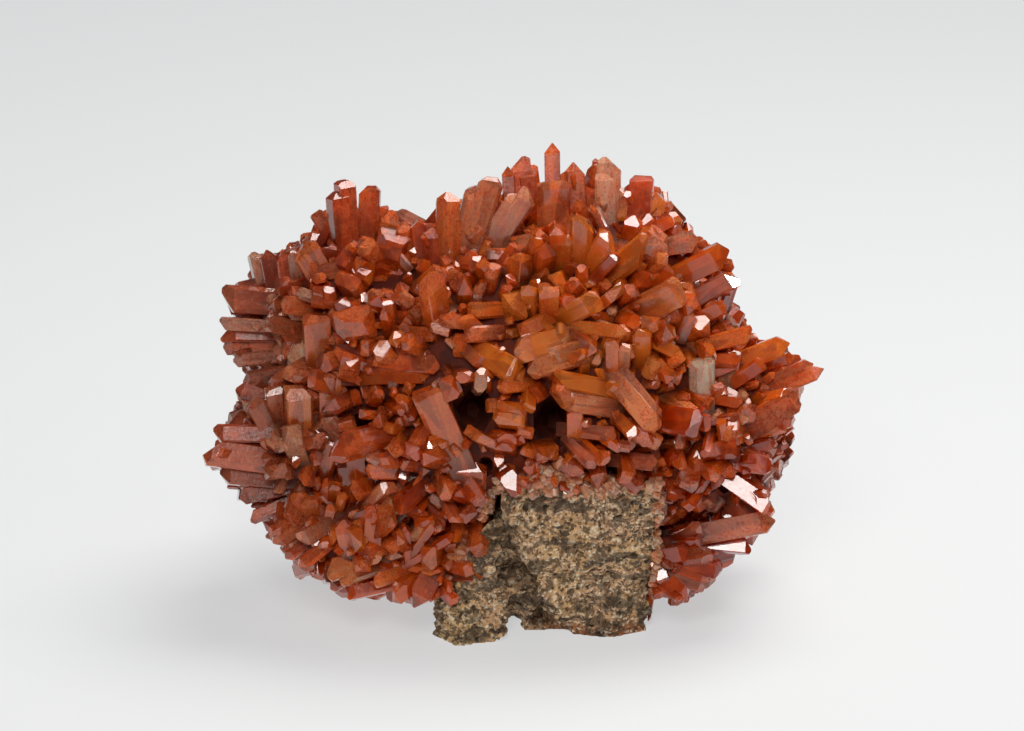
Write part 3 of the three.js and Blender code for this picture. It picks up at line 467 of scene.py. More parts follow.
def front_depth(across: float, up: float) -> float:
    """Finds how near to the viewer the masses of crust come.

    Args:
        across: Place in the front view.
        up: Place in the front view.

    Returns:
        The near coordinate of the foremost mass.
    """
    best, nearest, fallback = -math.inf, -math.inf, 0.0
    for cx, cy, cz, rx, ry, rz in MASSES:
        inside = 1 - ((across - cx) / rx) ** 2 - ((up - cy) / ry) ** 2
        if inside > 0:
            best = max(best, cz + rz * math.sqrt(inside))
        if inside > nearest:
            nearest, fallback = inside, cz
    return max(best, fallback)


def inside_outline(across: float, up: float) -> bool:
    """Tells whether a place of the front view lies within the specimen's outline."""
    inside = False
    for (xi, yi), (xj, yj) in zip(OUTLINE, OUTLINE[-1:] + OUTLINE[:-1]):
        if (yi > up) != (yj > up) and across < (xj - xi) * (up - yi) / (yj - yi) + xi:
            inside = not inside
    return inside


def on_bare_rock(place: Vector) -> bool:
    """Tells whether a place lies on the bare rock of the back or of the foot."""
    behind = place.y > BACK_DEPTH and place.z < 27 and abs(place.x + 0.5) < 13.5 - 0.12 * abs(place.z - 16)
    below = place.z < 4.5 and abs(place.x) < 13 and place.y > -14
    return behind or below


def over_rock_face(spot: Vector) -> bool:
    """Tells whether a view place lies in front of the bare face of the rock."""
    return spot.z > 0 and -6.0 < spot.x < 11.5 and spot.y < 11.0


def reach(direction: Vector) -> float:
    """Measures from the middle of the body to the surface of the masses in a view direction."""
    far = 0.0
    for cx, cy, cz, rx, ry, rz in MASSES:
        d = (direction.x / rx, direction.y / ry, direction.z / rz)
        o = ((BODY_CENTRE.x - cx) / rx, (BODY_CENTRE.y - cy) / ry, (BODY_CENTRE.z - cz) / rz)
        a = sum(value * value for value in d)
        b = sum(p * q for p, q in zip(d, o))
        c = sum(value * value for value in o) - 1
        root = b * b - a * c
        if root > 0:
            far = max(far, (-b + math.sqrt(root)) / a)
    return far


@dataclass(frozen=True)
class Crystal:
    """One crystal, from where it leaves the crust to its tip."""

    root: Vector
    tip: Vector
    width: float
    thickness: float
    turn: float
    end: CrystalEnd
    look: Look
    smooth: bool = False
    depth: float = ROOT_DEPTH
    # Whether along is 1 throughout, which spares the root the painted root shade.
    bright_root: bool = False

    @property
    def length(self) -> float:
        """Length from root to tip."""
        return (self.tip - self.root).length

    def frame(self) -> Matrix:
        """Gives the matrix from the crystal's own axes, z along its length, to the row frame."""
        along = (self.tip - self.root).normalized()
        sideways = math.hypot(along.x, along.dot(VIEW_UP)) > 0.35
        lead = VIEW_NEAR if sideways else VIEW_UP
        wide = lead.cross(along).normalized()
        thick = along.cross(wide)
        basis = Matrix((wide, thick, along)).transposed().to_4x4()
        spin = Matrix.Rotation(math.radians(self.turn), 4, "Z")
        return Matrix.Translation(self.root) @ basis @ spin


@dataclass
class MeshBatch:
    """Closed shapes gathered into one mesh, with what the finishes read from each."""

    points: list[Vector] = field(default_factory=list)
    faces: list[tuple[int, ...]] = field(default_factory=list)
    looks: list[Look] = field(default_factory=list)
    locals: list[Vector] = field(default_factory=list)
    along: list[float] = field(default_factory=list)

    def add(self, shape: "Shape") -> None:
        """Adds one closed shape."""
        first = len(self.points)
        self.points += shape.points
        self.locals += shape.locals
        self.along += shape.along
        self.faces += [tuple(first + index for index in face) for face in shape.faces]
        self.looks += [shape.look] * len(shape.faces)

    def build(self, name: str) -> bpy.types.Object:
        """Makes the mesh object.

        Args:
            name: Name of the object.

        Returns:
            The object, in metres, linked to the scene.
        """
        mesh = bpy.data.meshes.new(name)
        mesh.from_pydata([point * MM for point in self.points], [], self.faces)
        corners = np.zeros(len(mesh.loops), dtype=np.int32)
        mesh.loops.foreach_get("vertex_index", corners)
        look = mesh.attributes.new("look", "FLOAT_COLOR", "FACE")
        values = [(item.tone, item.film, item.pale, item.painted_shade) for item in self.looks]
        look.data.foreach_set("color", np.array(values, dtype=np.float32).ravel())
        local = mesh.attributes.new("local", "FLOAT_VECTOR", "CORNER")
        places = np.array(self.locals, dtype=np.float32).reshape(-1, 3)
        local.data.foreach_set("vector", places[corners].ravel())
        along = mesh.attributes.new("along", "FLOAT", "CORNER")
        along.data.foreach_set("value", np.array(self.along, dtype=np.float32)[corners])
        piece = bpy.data.objects.new(name, mesh)
        bpy.context.scene.collection.objects.link(piece)
        return piece


@dataclass(frozen=True)
class Shape:
    """A closed convex shape with its own coordinates, and the ball that it fits in."""

    points: list[Vector]
    faces: list[tuple[int, ...]]
    locals: list[Vector]
    along: list[float]
    look: Look
    start: Vector
    end: Vector
    girth: float

    @property
    def radius(self) -> float:
        """Radius of the ball around the shape."""
        return (self.end - self.start).length / 2 + self.girth

    @property
    def centre(self) -> Vector:
        """Middle of the shape."""
        return (self.start + self.end) / 2


def clipped(faces: list[list[Vector]], normal: Vector, through: Vector) -> list[list[Vector]]:
    """Cuts a convex solid with a plane and closes the cut.

    Args:
        faces: Faces of the solid, each a ring of corners seen from outside.
        normal: Direction of the side that is cut away.
        through: A point of the plane.

    Returns:
        The faces that are left, with the new one last.
    """
    level = through.dot(normal)
    kept, rim = [], {}
    for face in faces:
        ring = []
        for first, second in zip(face, face[1:] + face[:1]):
            a, b = first.dot(normal) - level, second.dot(normal) - level
            if a <= 0:
                ring.append(first)
            if (a <= 0) != (b <= 0):
                low, high = (first, second) if tuple(first) < tuple(second) else (second, first)
                c, d = low.dot(normal) - level, high.dot(normal) - level
                crossing = low.lerp(high, c / (c - d))
                ring.append(crossing)
                rim[tuple(crossing)] = crossing
        if len(ring) > 2:
            kept.append(ring)
    if len(rim) < 3:
        return kept
    centre = sum(rim.values(), Vector()) / len(rim)
    right = normal.orthogonal().normalized()
    ahead = normal.normalized().cross(right)
    cap = sorted(rim.values(), key=lambda p: math.atan2((p - centre).dot(ahead), (p - centre).dot(right)))
    return kept + [cap]


@dataclass(frozen=True)
class CrystalForm:
    """The cross-section and the ends from which every crystal is drawn."""

    root_scale: float = 0.9
    tip_scale: float = 0.93
    corner_cut: tuple[float, float] = (0.06, 0.42)
    end_spread: float = 0.3

    def section(self, crystal: Crystal, random: Callable[[], float]) -> list[tuple[float, float]]:
        """Gives the cross-section, a rectangle with its corners cut off unevenly.

        Args:
            crystal: The crystal.
            random: Source of numbers.

        Returns:
            The corners in order, anticlockwise seen from the tip.
        """
        x, y = crystal.width / 2, crystal.thickness / 2
        low, high = self.corner_cut
        ring = []
        for sx, sy in ((1, 1), (-1, 1), (-1, -1), (1, -1)):
            sharp = crystal.end is CrystalEnd.BLADE
            part = (high if sharp else low + (high - low) * random() ** 1.6)
            cut_x, cut_y = x * part * (0.6 + 0.6 * random()), y * min(0.92, part * (1.1 + random()))
            pair = [(sx * x, sy * (y - cut_y)), (sx * (x - cut_x), sy * y)]
            ring += pair if sx * sy > 0 else pair[::-1]
        return ring

    def planes(self, crystal: Crystal, random: Callable[[], float]) -> list[tuple[Vector, Vector]]:
        """Gives the planes that end a crystal.

        Args:
            crystal: The crystal.
            random: Source of numbers.

        Returns:
            For each plane its outward direction and a point on it.
        """
        x, y, top = crystal.width / 2, crystal.thickness / 2, crystal.length

        def slope(value: float) -> float:
            """Varies a slope."""
            return value * (1 + self.end_spread * (2 * random() - 1))

        ridge = 0.3 * y * (2 * random() - 1)
        apex = 0.3 * x * (2 * random() - 1)
        small = min(x, y)
        if crystal.end is CrystalEnd.CHISEL:
            steep = crystal.thickness * WEDGE / y
            return [
                (Vector((0.1 * random(), slope(steep), 1)), Vector((0, ridge, top))),
                (Vector((-0.1 * random(), -slope(steep), 1)), Vector((0, ridge, top))),
                (Vector((slope(0.8), 0.2 * (random() - 0.5), 1)), Vector((2 * apex + 0.16 * x, 0, top))),
                (Vector((-slope(0.8), 0.2 * (random() - 0.5), 1)), Vector((2 * apex - 0.16 * x, 0, top))),
            ]
        if crystal.end is CrystalEnd.BLUNT:
            return [
                (Vector((0.5 * (random() - 0.5), 0.5 * (random() - 0.5), 1)), Vector((0, 0, top - 0.1 * small))),
                (Vector((slope(1.0), 0.1, 1)), Vector((x - 0.45 * small * (1 + random()), 0, top))),
                (Vector((-slope(1.0), -0.1, 1)), Vector((-x + 0.45 * small * (1 + random()), 0, top))),
                (Vector((0.1, slope(1.1), 1)), Vector((0, y - 0.45 * small * (1 + random()), top))),
                (Vector((-0.1, -slope(1.1), 1)), Vector((0, -y + 0.45 * small * (1 + random()), top))),
            ]
        if crystal.end is CrystalEnd.BLADE:
            reach_of_end = 0.3 * max(crystal.width, crystal.thickness)
            return [
                (Vector((slope(0.8 * reach_of_end / (0.7 * x)), 0, 1)), Vector((0.3 * x, 0, top))),
                (Vector((-slope(2.2 * reach_of_end / (1.3 * x)), 0, 1)), Vector((0.3 * x, 0, top))),
                (Vector((0, slope(1.3), 1)), Vector((0, 0.3 * y, top))),
                (Vector((0, -slope(1.3), 1)), Vector((0, -0.3 * y, top))),
            ]
        drop = 0.6 * crystal.width
        return [
            (Vector((slope(drop / x), 0, 1)), Vector((0.4 * apex, 0, top))),
            (Vector((-slope(drop / x), 0, 1)), Vector((0.4 * apex, 0, top))),
            (Vector((0.05, slope(drop / y), 1)), Vector((0, 0.4 * ridge, top - 0.11 * x))),
            (Vector((-0.05, -slope(drop / y), 1)), Vector((0, 0.4 * ridge, top - 0.07 * x))),
        ]

    def shape(self, crystal: Crystal, seed: int) -> Shape:
        """Draws one crystal.

        Args:
            crystal: The crystal.
            seed: Stream for its unevenness.

        Returns:
            The closed shape.
        """
        random = stream(seed)
        length = crystal.length
        section = self.section(crystal, random)
        low = [Vector((a * self.root_scale, b * self.root_scale, -crystal.depth)) for a, b in section]
        high = [Vector((a * self.tip_scale, b * self.tip_scale, length + crystal.width)) for a, b in section]
        sides = len(section)
        rings = [low[::-1], high]
        for k in range(sides):
            after = (k + 1) % sides
            rings.append([low[k], low[after], high[after], high[k]])
        for normal, through in self.planes(crystal, random):
            rings = clipped(rings, normal, through)
        frame = crystal.frame()
        drift = Vector((random(), random(), random())) * 40.0
        numbers: dict[tuple[float, ...], int] = {}
        points, places, along, faces = [], [], [], []
        for ring in rings:
            face = []
            for corner in ring:
                key = tuple(corner)
                if key not in numbers:
                    numbers[key] = len(points)
                    points.append(frame @ corner)
                    places.append(corner + drift)
                    # Along runs from root to tip; the finish darkens its low values as painted shade at the roots.
                    part = 1.0 if crystal.bright_root else corner.z / length
                    along.append(min(1.0, max(0.0, part)))
                face.append(numbers[key])
            faces.append(tuple(face))
        lift = max(0.0, FLOOR_CLEARANCE - min(point.z for point in points))
        raised = Vector((0.0, 0.0, lift))
        girth = math.hypot(crystal.width, crystal.thickness) / 2
        start = frame @ Vector((0.0, 0.0, -crystal.depth)) + raised
        return Shape([point + raised for point in points], faces, places, along, crystal.look,
                     start, crystal.tip + raised, girth)


@dataclass(frozen=True)
class Coat:
    """Sizes and spacing of the smaller crystals that cover the crust."""

    seed: int
    spacing: float
    length: tuple[float, float]
    width: tuple[float, float]
    lean: float
    sink: float = 0.4
    meets_back: bool = False


COATS: tuple[Coat, ...] = (
    Coat(20000, 2.1, (2.2, 4.2), (1.4, 2.8), 1.6),
    Coat(120000, 1.65, (0.9, 1.9), (1.0, 1.8), 1.4, meets_back=True),
)

# Smaller dark gaps between the crystals in front: across, up, half width, depth
RECESSES: tuple[tuple[float, float, float, float], ...] = (
    (-20.1, 31.4, 0.9, 4.0),
    (6.3, 13.2, 1.2, 3.5),
    (-5.9, 13.6, 1.0, 4.0),
    (18.0, 11.9, 1.2, 4.0),
    (12.2, 7.4, 0.9, 4.0),
    (-1.7, 39.6, 0.9, 3.5),
)


@dataclass
class CrystalCluster:
    """Every hopeite crystal, with the crust that they grow from."""

    form: CrystalForm = field(default_factory=CrystalForm)
    crust_relief: float = 0.7
    crust_levels: int = 3

    def look_at(self, across: float, up: float, random: Callable[[], float]) -> Look:
        """Chooses a look by place: painted shade in a dusky colour on the left, a painted glow right of the middle,
        warmer low on the left, and painted shade toward deep red low on the right.

        Args:
            across: Place in the front view.
            up: Place in the front view.
            random: Source of numbers.

        Returns:
            The look.
        """
        # Painted glow: crystals right of the middle are raised toward the glow colour.
        painted_glow = math.exp(-(((across - 3.0) / 13.0) ** 2 + ((up - 27.0) / 9.0) ** 2))
        lower = math.exp(-(((across + 19.0) / 10.0) ** 2 + ((up - 5.0) / 6.0) ** 2))
        # Painted shade on the left: lower tone, more dull film and a dusky colour.
        shaded_left = min(1.0, max(0.0, (-18.0 - across) / 12.0))
        # Painted shade: crystals low on the right drop toward deep red and lose film.
        corner = math.exp(-(((across - 18.0) / 8.0) ** 2 + ((up - 7.0) / 8.0) ** 2))
        tone = 0.3 + 0.5 * painted_glow + 0.3 * lower - 0.12 * shaded_left - 0.2 * corner + 0.6 * (random() - 0.5)
        film = 0.03 + 0.65 * random() ** 1.5 + 0.2 * shaded_left - 0.3 * corner
        pale = max(0.0, random() - 0.86) * 3.0
        painted_shade = shaded_left * (0.35 + 0.4 * random()) * (1 - lower)
        clamp = [min(1.0, max(0.0, value)) for value in (tone, film, pale, painted_shade)]
        return Look(*clamp)

    def listed(self, rows: Sequence[tuple], first_seed: int) -> list[Crystal]:
        """Places the crystals of a list.

        Args:
            rows: Rows of the list.
            first_seed: Seed of the first row.

        Returns:
            The crystals.
        """
        crystals = []
        for index, row in enumerate(rows):
            tip_x, tip_y, root_x, root_y, width, thickness, rise, turn, end = row
            random = stream(first_seed + index)
            near = front_depth(root_x, root_y) - 0.3 - 0.5 * random()
            angle = turn + 24 * (random() - 0.5)
            key = (tip_x, tip_y)
            look = SPECIAL_LOOKS.get(key) or self.look_at(tip_x, tip_y, random)
            crystals.append(Crystal(
                from_view(root_x, root_y, near), from_view(tip_x, tip_y, near + rise),
                width, thickness, angle, CrystalEnd(end), look, key in SMOOTH_TIPS,
                min(ROOT_DEPTH, 1.2 + 0.3 * math.hypot(tip_x - root_x, tip_y - root_y)),
            ))
        return crystals

    def filled(self, listed: Sequence[Crystal], rock: BVHTree) -> list[Crystal]:
        """Covers the sides, top and back, clear of the listed crystals.

        Args:
            listed: Crystals that are there already.
            rock: The rock, in metres.

        Returns:
            The crystals that were added.
        """
        golden = math.pi * (3 - math.sqrt(5))
        placed = [crystal.root.lerp(crystal.tip, 0.4) for crystal in listed]
        filled = []
        for index in range(FILL_COUNT):
            random = stream(5000 + index)
            near = 1 - (2 * index + 1) / FILL_COUNT
            around = math.sqrt(1 - near * near)
            outward = Vector((math.cos(golden * index) * around, math.sin(golden * index) * around, near))
            spot = BODY_CENTRE + outward * reach(outward)
            root = from_view(*spot)
            lean = Vector([(random() - 0.5) * 1.1 for _ in range(3)])
            length = 3.6 + 3.2 * random()
            width = 2.2 + 1.8 * random()
            thickness = width * (0.6 + 0.25 * random())
            turn = 180 * random()
            end = (CrystalEnd.CHISEL, CrystalEnd.POINT)[int(random() * 2)]
            axis = (outward + lean).normalized()
            pull = next((part for part in (1, 0.7, 0.4, 0.1) if inside_outline(
                spot.x + axis.x * length * part, spot.y + axis.y * length * part)), None)
            if pull is None:
                continue
            away = math.sqrt(max(0.0, 1 - pull * pull * (1 - axis.z * axis.z)))
            tip_spot = spot + Vector((axis.x * pull, axis.y * pull, math.copysign(away, axis.z))) * length
            tip = from_view(*tip_spot)
            middle = root.lerp(tip, 0.4)
            crowded = any((other - middle).length < FILL_SPACING for other in placed)
            hanging = over_rock_face(tip_spot)
            if crowded or hanging or on_bare_rock(root) or tip.z < 2.2 or root.z < 2.2:
                continue
            placed.append(middle)
            if self.buried(root, rock):
                continue
            look = self.look_at(tip_spot.x, tip_spot.y, random)
            filled.append(Crystal(root, tip, width, thickness, turn, end, look))
        return filled

    def bundle(self, crystal: Crystal, seed: int) -> list[Crystal]:
        """Splits a large crystal into the parallel ones that it is made of.

        Args:
            crystal: The outer form.
            seed: Stream for the lengths and places.

        Returns:
            The crystals of the bundle, all within the outer form but for a hair.
        """
        random = stream(seed)
        columns = 1 + int(crystal.width > 2.3 and random() > 0.45)
        layers = 1 + int(crystal.thickness > 1.9 and random() > 0.6)
        if crystal.smooth or columns * layers == 1:
            return [crystal]
        width = crystal.width / columns * (1.45 if columns > 1 else 1.0)
        thickness = crystal.thickness / layers * (1.4 if layers > 1 else 1.0)
        leader = int(random() * columns * layers)
        axis = (crystal.tip - crystal.root).normalized()
        frame = crystal.frame().to_3x3()
        members = []
        for index in range(columns * layers):
            column, layer = index % columns, index // columns
            x = 0.0 if columns == 1 else (crystal.width - width) * (column / (columns - 1) - 0.5)
            y = 0.0 if layers == 1 else (crystal.thickness - thickness) * (layer / (layers - 1) - 0.5)
            part = 1.0 if index == leader else 0.74 + 0.25 * random()
            offset = frame @ Vector((x, y, 0.0))
            tilt = frame @ Vector((random() - 0.5, random() - 0.5, 0.0)) * (0.0 if index == leader else 0.09)
            tip = crystal.root + offset + (axis + tilt).normalized() * crystal.length * part
            members.append(Crystal(
                crystal.root + offset, tip, width, thickness, crystal.turn + 5 * (random() - 0.5),
                crystal.end, crystal.look.shifted(0.16 * (random() - 0.5)), depth=crystal.depth,
            ))
        return members

    def riders(self, crystal: Crystal, seed: int) -> list[Crystal]:
        """Grows a few small crystals on the flanks of a larger one.

        Args:
            crystal: The crystal that carries them.
            seed: Stream for their places.

        Returns:
            The small crystals.
        """
        random = stream(seed)
        frame = crystal.frame()
        turned = frame.to_3x3()
        riders = []
        if crystal.smooth:
            return riders
        for _ in range(int(random() * 2.6)):
            angle = 2 * math.pi * random()
            height = crystal.length * (0.1 + 0.62 * random())
            side = Vector((math.cos(angle), math.sin(angle), 0.0))
            foot = Vector((side.x * crystal.width * 0.4, side.y * crystal.thickness * 0.36, height))
            lean = side * (0.35 + 0.8 * random()) + Vector((0.0, 0.0, 0.9))
            size = 0.9 + 1.1 * random()
            root = frame @ foot
            tip = root + (turned @ lean).normalized() * size
            width = 0.55 + 0.5 * random()
            riders.append(Crystal(root, tip, width, width * 0.75, 180 * random(), CrystalEnd.CHISEL,
                                  crystal.look.shifted(0.3 * (random() - 0.5)), depth=0.5))
        return riders

    def coat(self, coat: "Coat", shown: BVHTree, rock: BVHTree) -> list[Crystal]:
        """Covers the crust with smaller crystals that hide none of the large ones.

        Args:
            coat: Sizes and spacing of the crystals.
            shown: The large crystals, in metres.
            rock: The rock, in metres.

        Returns:
            The crystals of the coat.
        """
        golden = math.pi * (3 - math.sqrt(5))
        crystals = []
        for number, (cx, cy, cz, rx, ry, rz) in enumerate(MASSES):
            area = 4 * math.pi * (((rx * ry) ** 1.6 + (rx * rz) ** 1.6 + (ry * rz) ** 1.6) / 3) ** (1 / 1.6)
            count = int(area / coat.spacing ** 2)
            for index in range(count):
                random = stream(coat.seed + 4000 * number + index)
                level = 1 - (2 * index + 1) / count
                around = math.sqrt(1 - level * level)
                angle = golden * index
                unit = Vector((math.cos(angle) * around, level, math.sin(angle) * around))
                spot = Vector((cx + unit.x * rx, cy + unit.y * ry, cz + unit.z * rz))
                outward = Vector((unit.x / rx, unit.y / ry, unit.z / rz)).normalized()
                spot -= outward * coat.sink
                covered = any(
                    ((spot.x - m[0]) / m[3]) ** 2 + ((spot.y - m[1]) / m[4]) ** 2
                    + ((spot.z - m[2]) / m[5]) ** 2 < 0.9
                    for other, m in enumerate(MASSES) if other != number
                )
                root = from_view(*spot)
                bare = on_bare_rock(root) and not (coat.meets_back and root.y > BACK_DEPTH)
                if covered or root.z < 1.2 or bare or self.buried(root, rock):
                    continue
                if spot.z > 0 and self.in_hollow(spot.x, spot.y):
                    continue
                lean = Vector([(random() - 0.5) * coat.lean for _ in range(3)])
                axis = from_view(*(outward + lean)).normalized()
                length = coat.length[0] + (coat.length[1] - coat.length[0]) * random() ** 1.5
                width = coat.width[0] + (coat.width[1] - coat.width[0]) * random()
                for part in (1.0, 0.6, 0.35, 0.2):
                    tip = root + axis * (length * part + coat.sink)
                    tip_view = to_view(tip)
                    if inside_outline(tip_view.x, tip_view.y):
                        break
                if tip.z < FLOOR_CLEARANCE or tip.y < FRONT_LIMIT:
                    continue
                if self.hides(tip, shown) or self.hides(root.lerp(tip, 0.7), shown):
                    continue
                if over_rock_face(tip_view):
                    continue
                end = (CrystalEnd.CHISEL, CrystalEnd.POINT, CrystalEnd.BLADE, CrystalEnd.CHISEL,
                       CrystalEnd.BLUNT)[int(random() * 5)]
                look = self.look_at(tip_view.x, tip_view.y, random)
                crystals.append(Crystal(root, tip, width, width * (0.5 + 0.35 * random()),
                                        180 * random(), end, look, depth=0.5))
        return crystals

    @staticmethod
    def hides(place: Vector, shown: BVHTree) -> bool:
        """Tells whether a place is in front of the bare part of a large crystal, seen from the front."""
        across, up, near = to_view(place)
        hit, _, _, _ = shown.ray_cast(from_view(across, up, 60.0) * MM, -VIEW_NEAR)
        if hit is None:
            return False
        found = to_view(hit / MM).z
        return near > found - 0.3 and found > front_depth(across, up) + 0.25

    @staticmethod
    def in_hollow(across: float, up: float) -> bool:
        """Tells whether a place of the front view lies over a hollow."""
        return any(((across - a) / half) ** 2 + ((up - b) / (1.3 * half)) ** 2 < 0.6
                   for a, b, half, _ in HOLLOWS + RECESSES)

    @staticmethod
    def room_for(node: bpy.types.Object) -> bpy.types.Object:
        """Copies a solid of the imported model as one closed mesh.

        Args:
            node: The solid.

        Returns:
            The copy.
        """
        work = bmesh.new()
        work.from_mesh(node.data)
        bmesh.ops.remove_doubles(work, verts=work.verts, dist=0.001 * MM)
        mesh = bpy.data.meshes.new("room")
        work.to_mesh(mesh)
        work.free()
        room = bpy.data.objects.new("room", mesh)
        bpy.context.scene.collection.objects.link(room)
        return room

    @staticmethod
    def buried(place: Vector, rock: BVHTree) -> bool:
        """Tells whether a place lies inside the rock."""
        hit, normal, _, _ = rock.ray_cast(place * MM, VIEW_NEAR)
        return hit is not None and normal.dot(VIEW_NEAR) > 0

    def crust(self) -> bpy.types.Object:
        """Builds the lumpy crust as one solid, with its deep hollows.

        Returns:
            The crust.
        """
        base: Optional[bpy.types.Object] = None
        for number, (cx, cy, cz, rx, ry, rz) in enumerate(MASSES):
            bpy.ops.mesh.primitive_ico_sphere_add(subdivisions=self.crust_levels, radius=1.0)
            ball = bpy.context.object
            least = min(rx, ry, rz)
            batch = MeshBatch()
            points = []
            for vertex in ball.data.vertices:
                unit = vertex.co.normalized()
                at = Vector((unit.x * rx, unit.y * ry, unit.z * rz))
                dent = noise.fractal(at * 0.55 + Vector((number * 9.0, 0, 0)), 0.6, 2.0, 3)
                scale = 1 - self.crust_relief * (0.5 + 0.6 * dent) / least
                place = from_view(cx + at.x * scale, cy + at.y * scale, cz + at.z * scale)
                place.z = max(place.z, FLOOR_CLEARANCE)
                points.append(place)
            faces = [tuple(face.vertices) for face in ball.data.polygons]
            # The crust takes the lowest tone and the darkest end of along: painted shade in the gaps between crystals.
            look = Look(0.1, 0.0)
            batch.add(Shape(points, faces, points, [0.0] * len(points), look, Vector(), Vector(), 0.0))
            bpy.data.objects.remove(ball)
            mass = batch.build(f"mass_{number}")
            base = mass if base is None else combine(base, mass, "UNION")
        for number, (across, up, half, depth) in enumerate(HOLLOWS + RECESSES):
            base = combine(base, self.hollow(number, across, up, half, depth), "DIFFERENCE")
        return base

    @staticmethod
    def hollow(number: int, across: float, up: float, half: float, depth: float) -> bpy.types.Object:
        """Builds the space of one hollow, five-sided and narrowing inward."""
        near = front_depth(across, up) + 1.5
        levels = ((1.0, 0.0), (0.8, 0.6), (0.3, 1.0))
        points = []
        for scale, far in levels:
            for k in range(5):
                angle = (k + far) * (2 * math.pi / 5)
                size = half * scale
                points.append(from_view(across + size * math.cos(angle), up + 1.3 * size * math.sin(angle),
                                        near - far * (depth + 1.5)))
        faces = [tuple(range(5)), tuple(range(14, 9, -1))]
        for ring in range(2):
            for k in range(5):
                a, b = ring * 5 + k, ring * 5 + (k + 1) % 5
                faces.append((a + 5, b + 5, b, a))
        batch = MeshBatch()
        # Its walls take the same darkest look: painted shade in the hollow.
        batch.add(Shape(points, faces, points, [0.0] * 15, Look(0.1, 0.0), Vector(), Vector(), 0.0))
        return batch.build(f"hollow_{number}")

    def seam(self, rock: BVHTree, cluster: BVHTree) -> list[Crystal]:
        """Places the pale sugary crust where the crystals meet the rock in front.

        Args:
            rock: The rock, in metres.
            cluster: The crystals so far, in metres.

        Returns:
            Short crystals standing on the rock's rim.
        """
        crystals = []
        for line, (start, end, count, spread) in enumerate(SEAM_LINES):
            for index in range(count):
                random = stream(60000 + 1000 * line + index)
                part = (index + random()) / count
                across = start[0] + (end[0] - start[0]) * part + spread * (random() - 0.5)
                up = start[1] + (end[1] - start[1]) * part + spread * (random() - 0.5)
                origin = from_view(across, up, 60.0) * MM
                found = [tree.ray_cast(origin, -VIEW_NEAR) for tree in (rock, cluster)]
                found = [item for item in found if item[0] is not None]
                if not found:
                    continue
                hit, normal, _, _ = min(found, key=lambda item: item[3])
                root = hit / MM
                lean = Vector([(random() - 0.5) * 1.4 for _ in range(3)])
                axis = (Vector(normal) + VIEW_UP * 0.5 + lean).normalized()
                size = 0.4 + 0.75 * random()
                look = Look(0.85 + 0.15 * random(), 0.3 * random(), 0.35 + 0.65 * random(), 0.0)
                width = 0.5 + 0.7 * random()
                crystals.append(Crystal(root, root + axis * size, width, width * 0.8,
                                        180 * random(), CrystalEnd.BLUNT, look, depth=0.35,
                                        bright_root=True))
        return crystals

    def build(self, rock: BVHTree, node: bpy.types.Object) -> bpy.types.Object:
        """Builds the whole cluster.

        Args:
            rock: The rock, in metres.
            node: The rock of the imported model, which is cut out of the cluster.

        Returns:
            The cluster as one solid.
        """
        listed = self.listed(CRYSTALS, 0)
        small = self.listed(SMALL_CRYSTALS, 900)
        large = listed + self.filled(listed, rock)
        members = []
        for index, crystal in enumerate(large):
            members += self.bundle(crystal, 7000 + index)
            members += self.riders(crystal, 8000 + index)
        shapes = [self.form.shape(crystal, 30000 + index) for index, crystal in enumerate(members + small)]
        shown = MeshBatch()
        for crystal in large + small:
            upper = replace(crystal, root=crystal.root.lerp(crystal.tip, SHOWN_FROM), depth=0.0)
            shown.add(self.form.shape(upper, 1))
        tree = BVHTree.FromPolygons([point * MM for point in shown.points], shown.faces)
        base = unite(self.crust(), shapes)
        base = combine(base, self.room_for(node), "DIFFERENCE")
        druse = [crystal for coat in COATS for crystal in self.coat(coat, tree, rock)]
        druse += self.seam(rock, BVHTree.FromObject(base, bpy.context.evaluated_depsgraph_get()))
        base = unite(base, [self.form.shape(crystal, 50000 + index) for index, crystal in enumerate(druse)])
        base.name = base.data.name = "hopeite_crystal_cluster"
        LOG.info("%d large, %d small and %d druse crystals", len(members), len(small), len(druse))
        return base


# Rim of the rock in the front view: start, end, how many grains, spread
SEAM_LINES: tuple[tuple, ...] = (
    ((-4.6, 11.6), (5.4, 11.4), 120, 1.0),
    ((-2.0, 12.8), (5.6, 12.6), 100, 1.3),
    ((5.4, 11.4), (11.2, 12.2), 50, 1.0),
    ((11.3, 12.2), (11.0, 0.5), 46, 0.5),
    ((-4.8, 11.6), (-9.2, 3.8), 40, 0.8),
    ((-9.2, 3.8), (-11.4, 0.2), 14, 0.6),
)


def combine(base: bpy.types.Object, other: bpy.types.Object, operation: str) -> bpy.types.Object:
    """Joins two closed solids, or cuts one from the other.

    Args:
        base: The solid that is kept.
        other: The solid that is joined or cut away, and then removed.
        operation: UNION or DIFFERENCE.

    Returns:
        The base with its new mesh.
    """
    step = base.modifiers.new("join", "BOOLEAN")
    step.operation = operation
    step.solver = "MANIFOLD"
    step.object = other
    graph = bpy.context.evaluated_depsgraph_get()
    mesh = bpy.data.meshes.new_from_object(base.evaluated_get(graph))
    base.modifiers.clear()
    base.data = mesh
    bpy.data.objects.remove(other)
    return base


def segment_gap(first: Shape, second: Shape) -> float:
    """Measures between the axes of two shapes.

    Args:
        first: One shape.
        second: The other shape.

    Returns:
        The least distance between the two axes.
    """
    u, v, w = first.end - first.start, second.end - second.start, first.start - second.start
    a, b, c, d, e = u.dot(u), u.dot(v), v.dot(v), u.dot(w), v.dot(w)
    spread = a * c - b * b
    s = min(1.0, max(0.0, (b * e - c * d) / spread)) if spread > 1e-9 else 0.0
    t = min(1.0, max(0.0, (b * s + e) / c))
    s = min(1.0, max(0.0, (b * t - d) / a))
    return (w + u * s - v * t).length


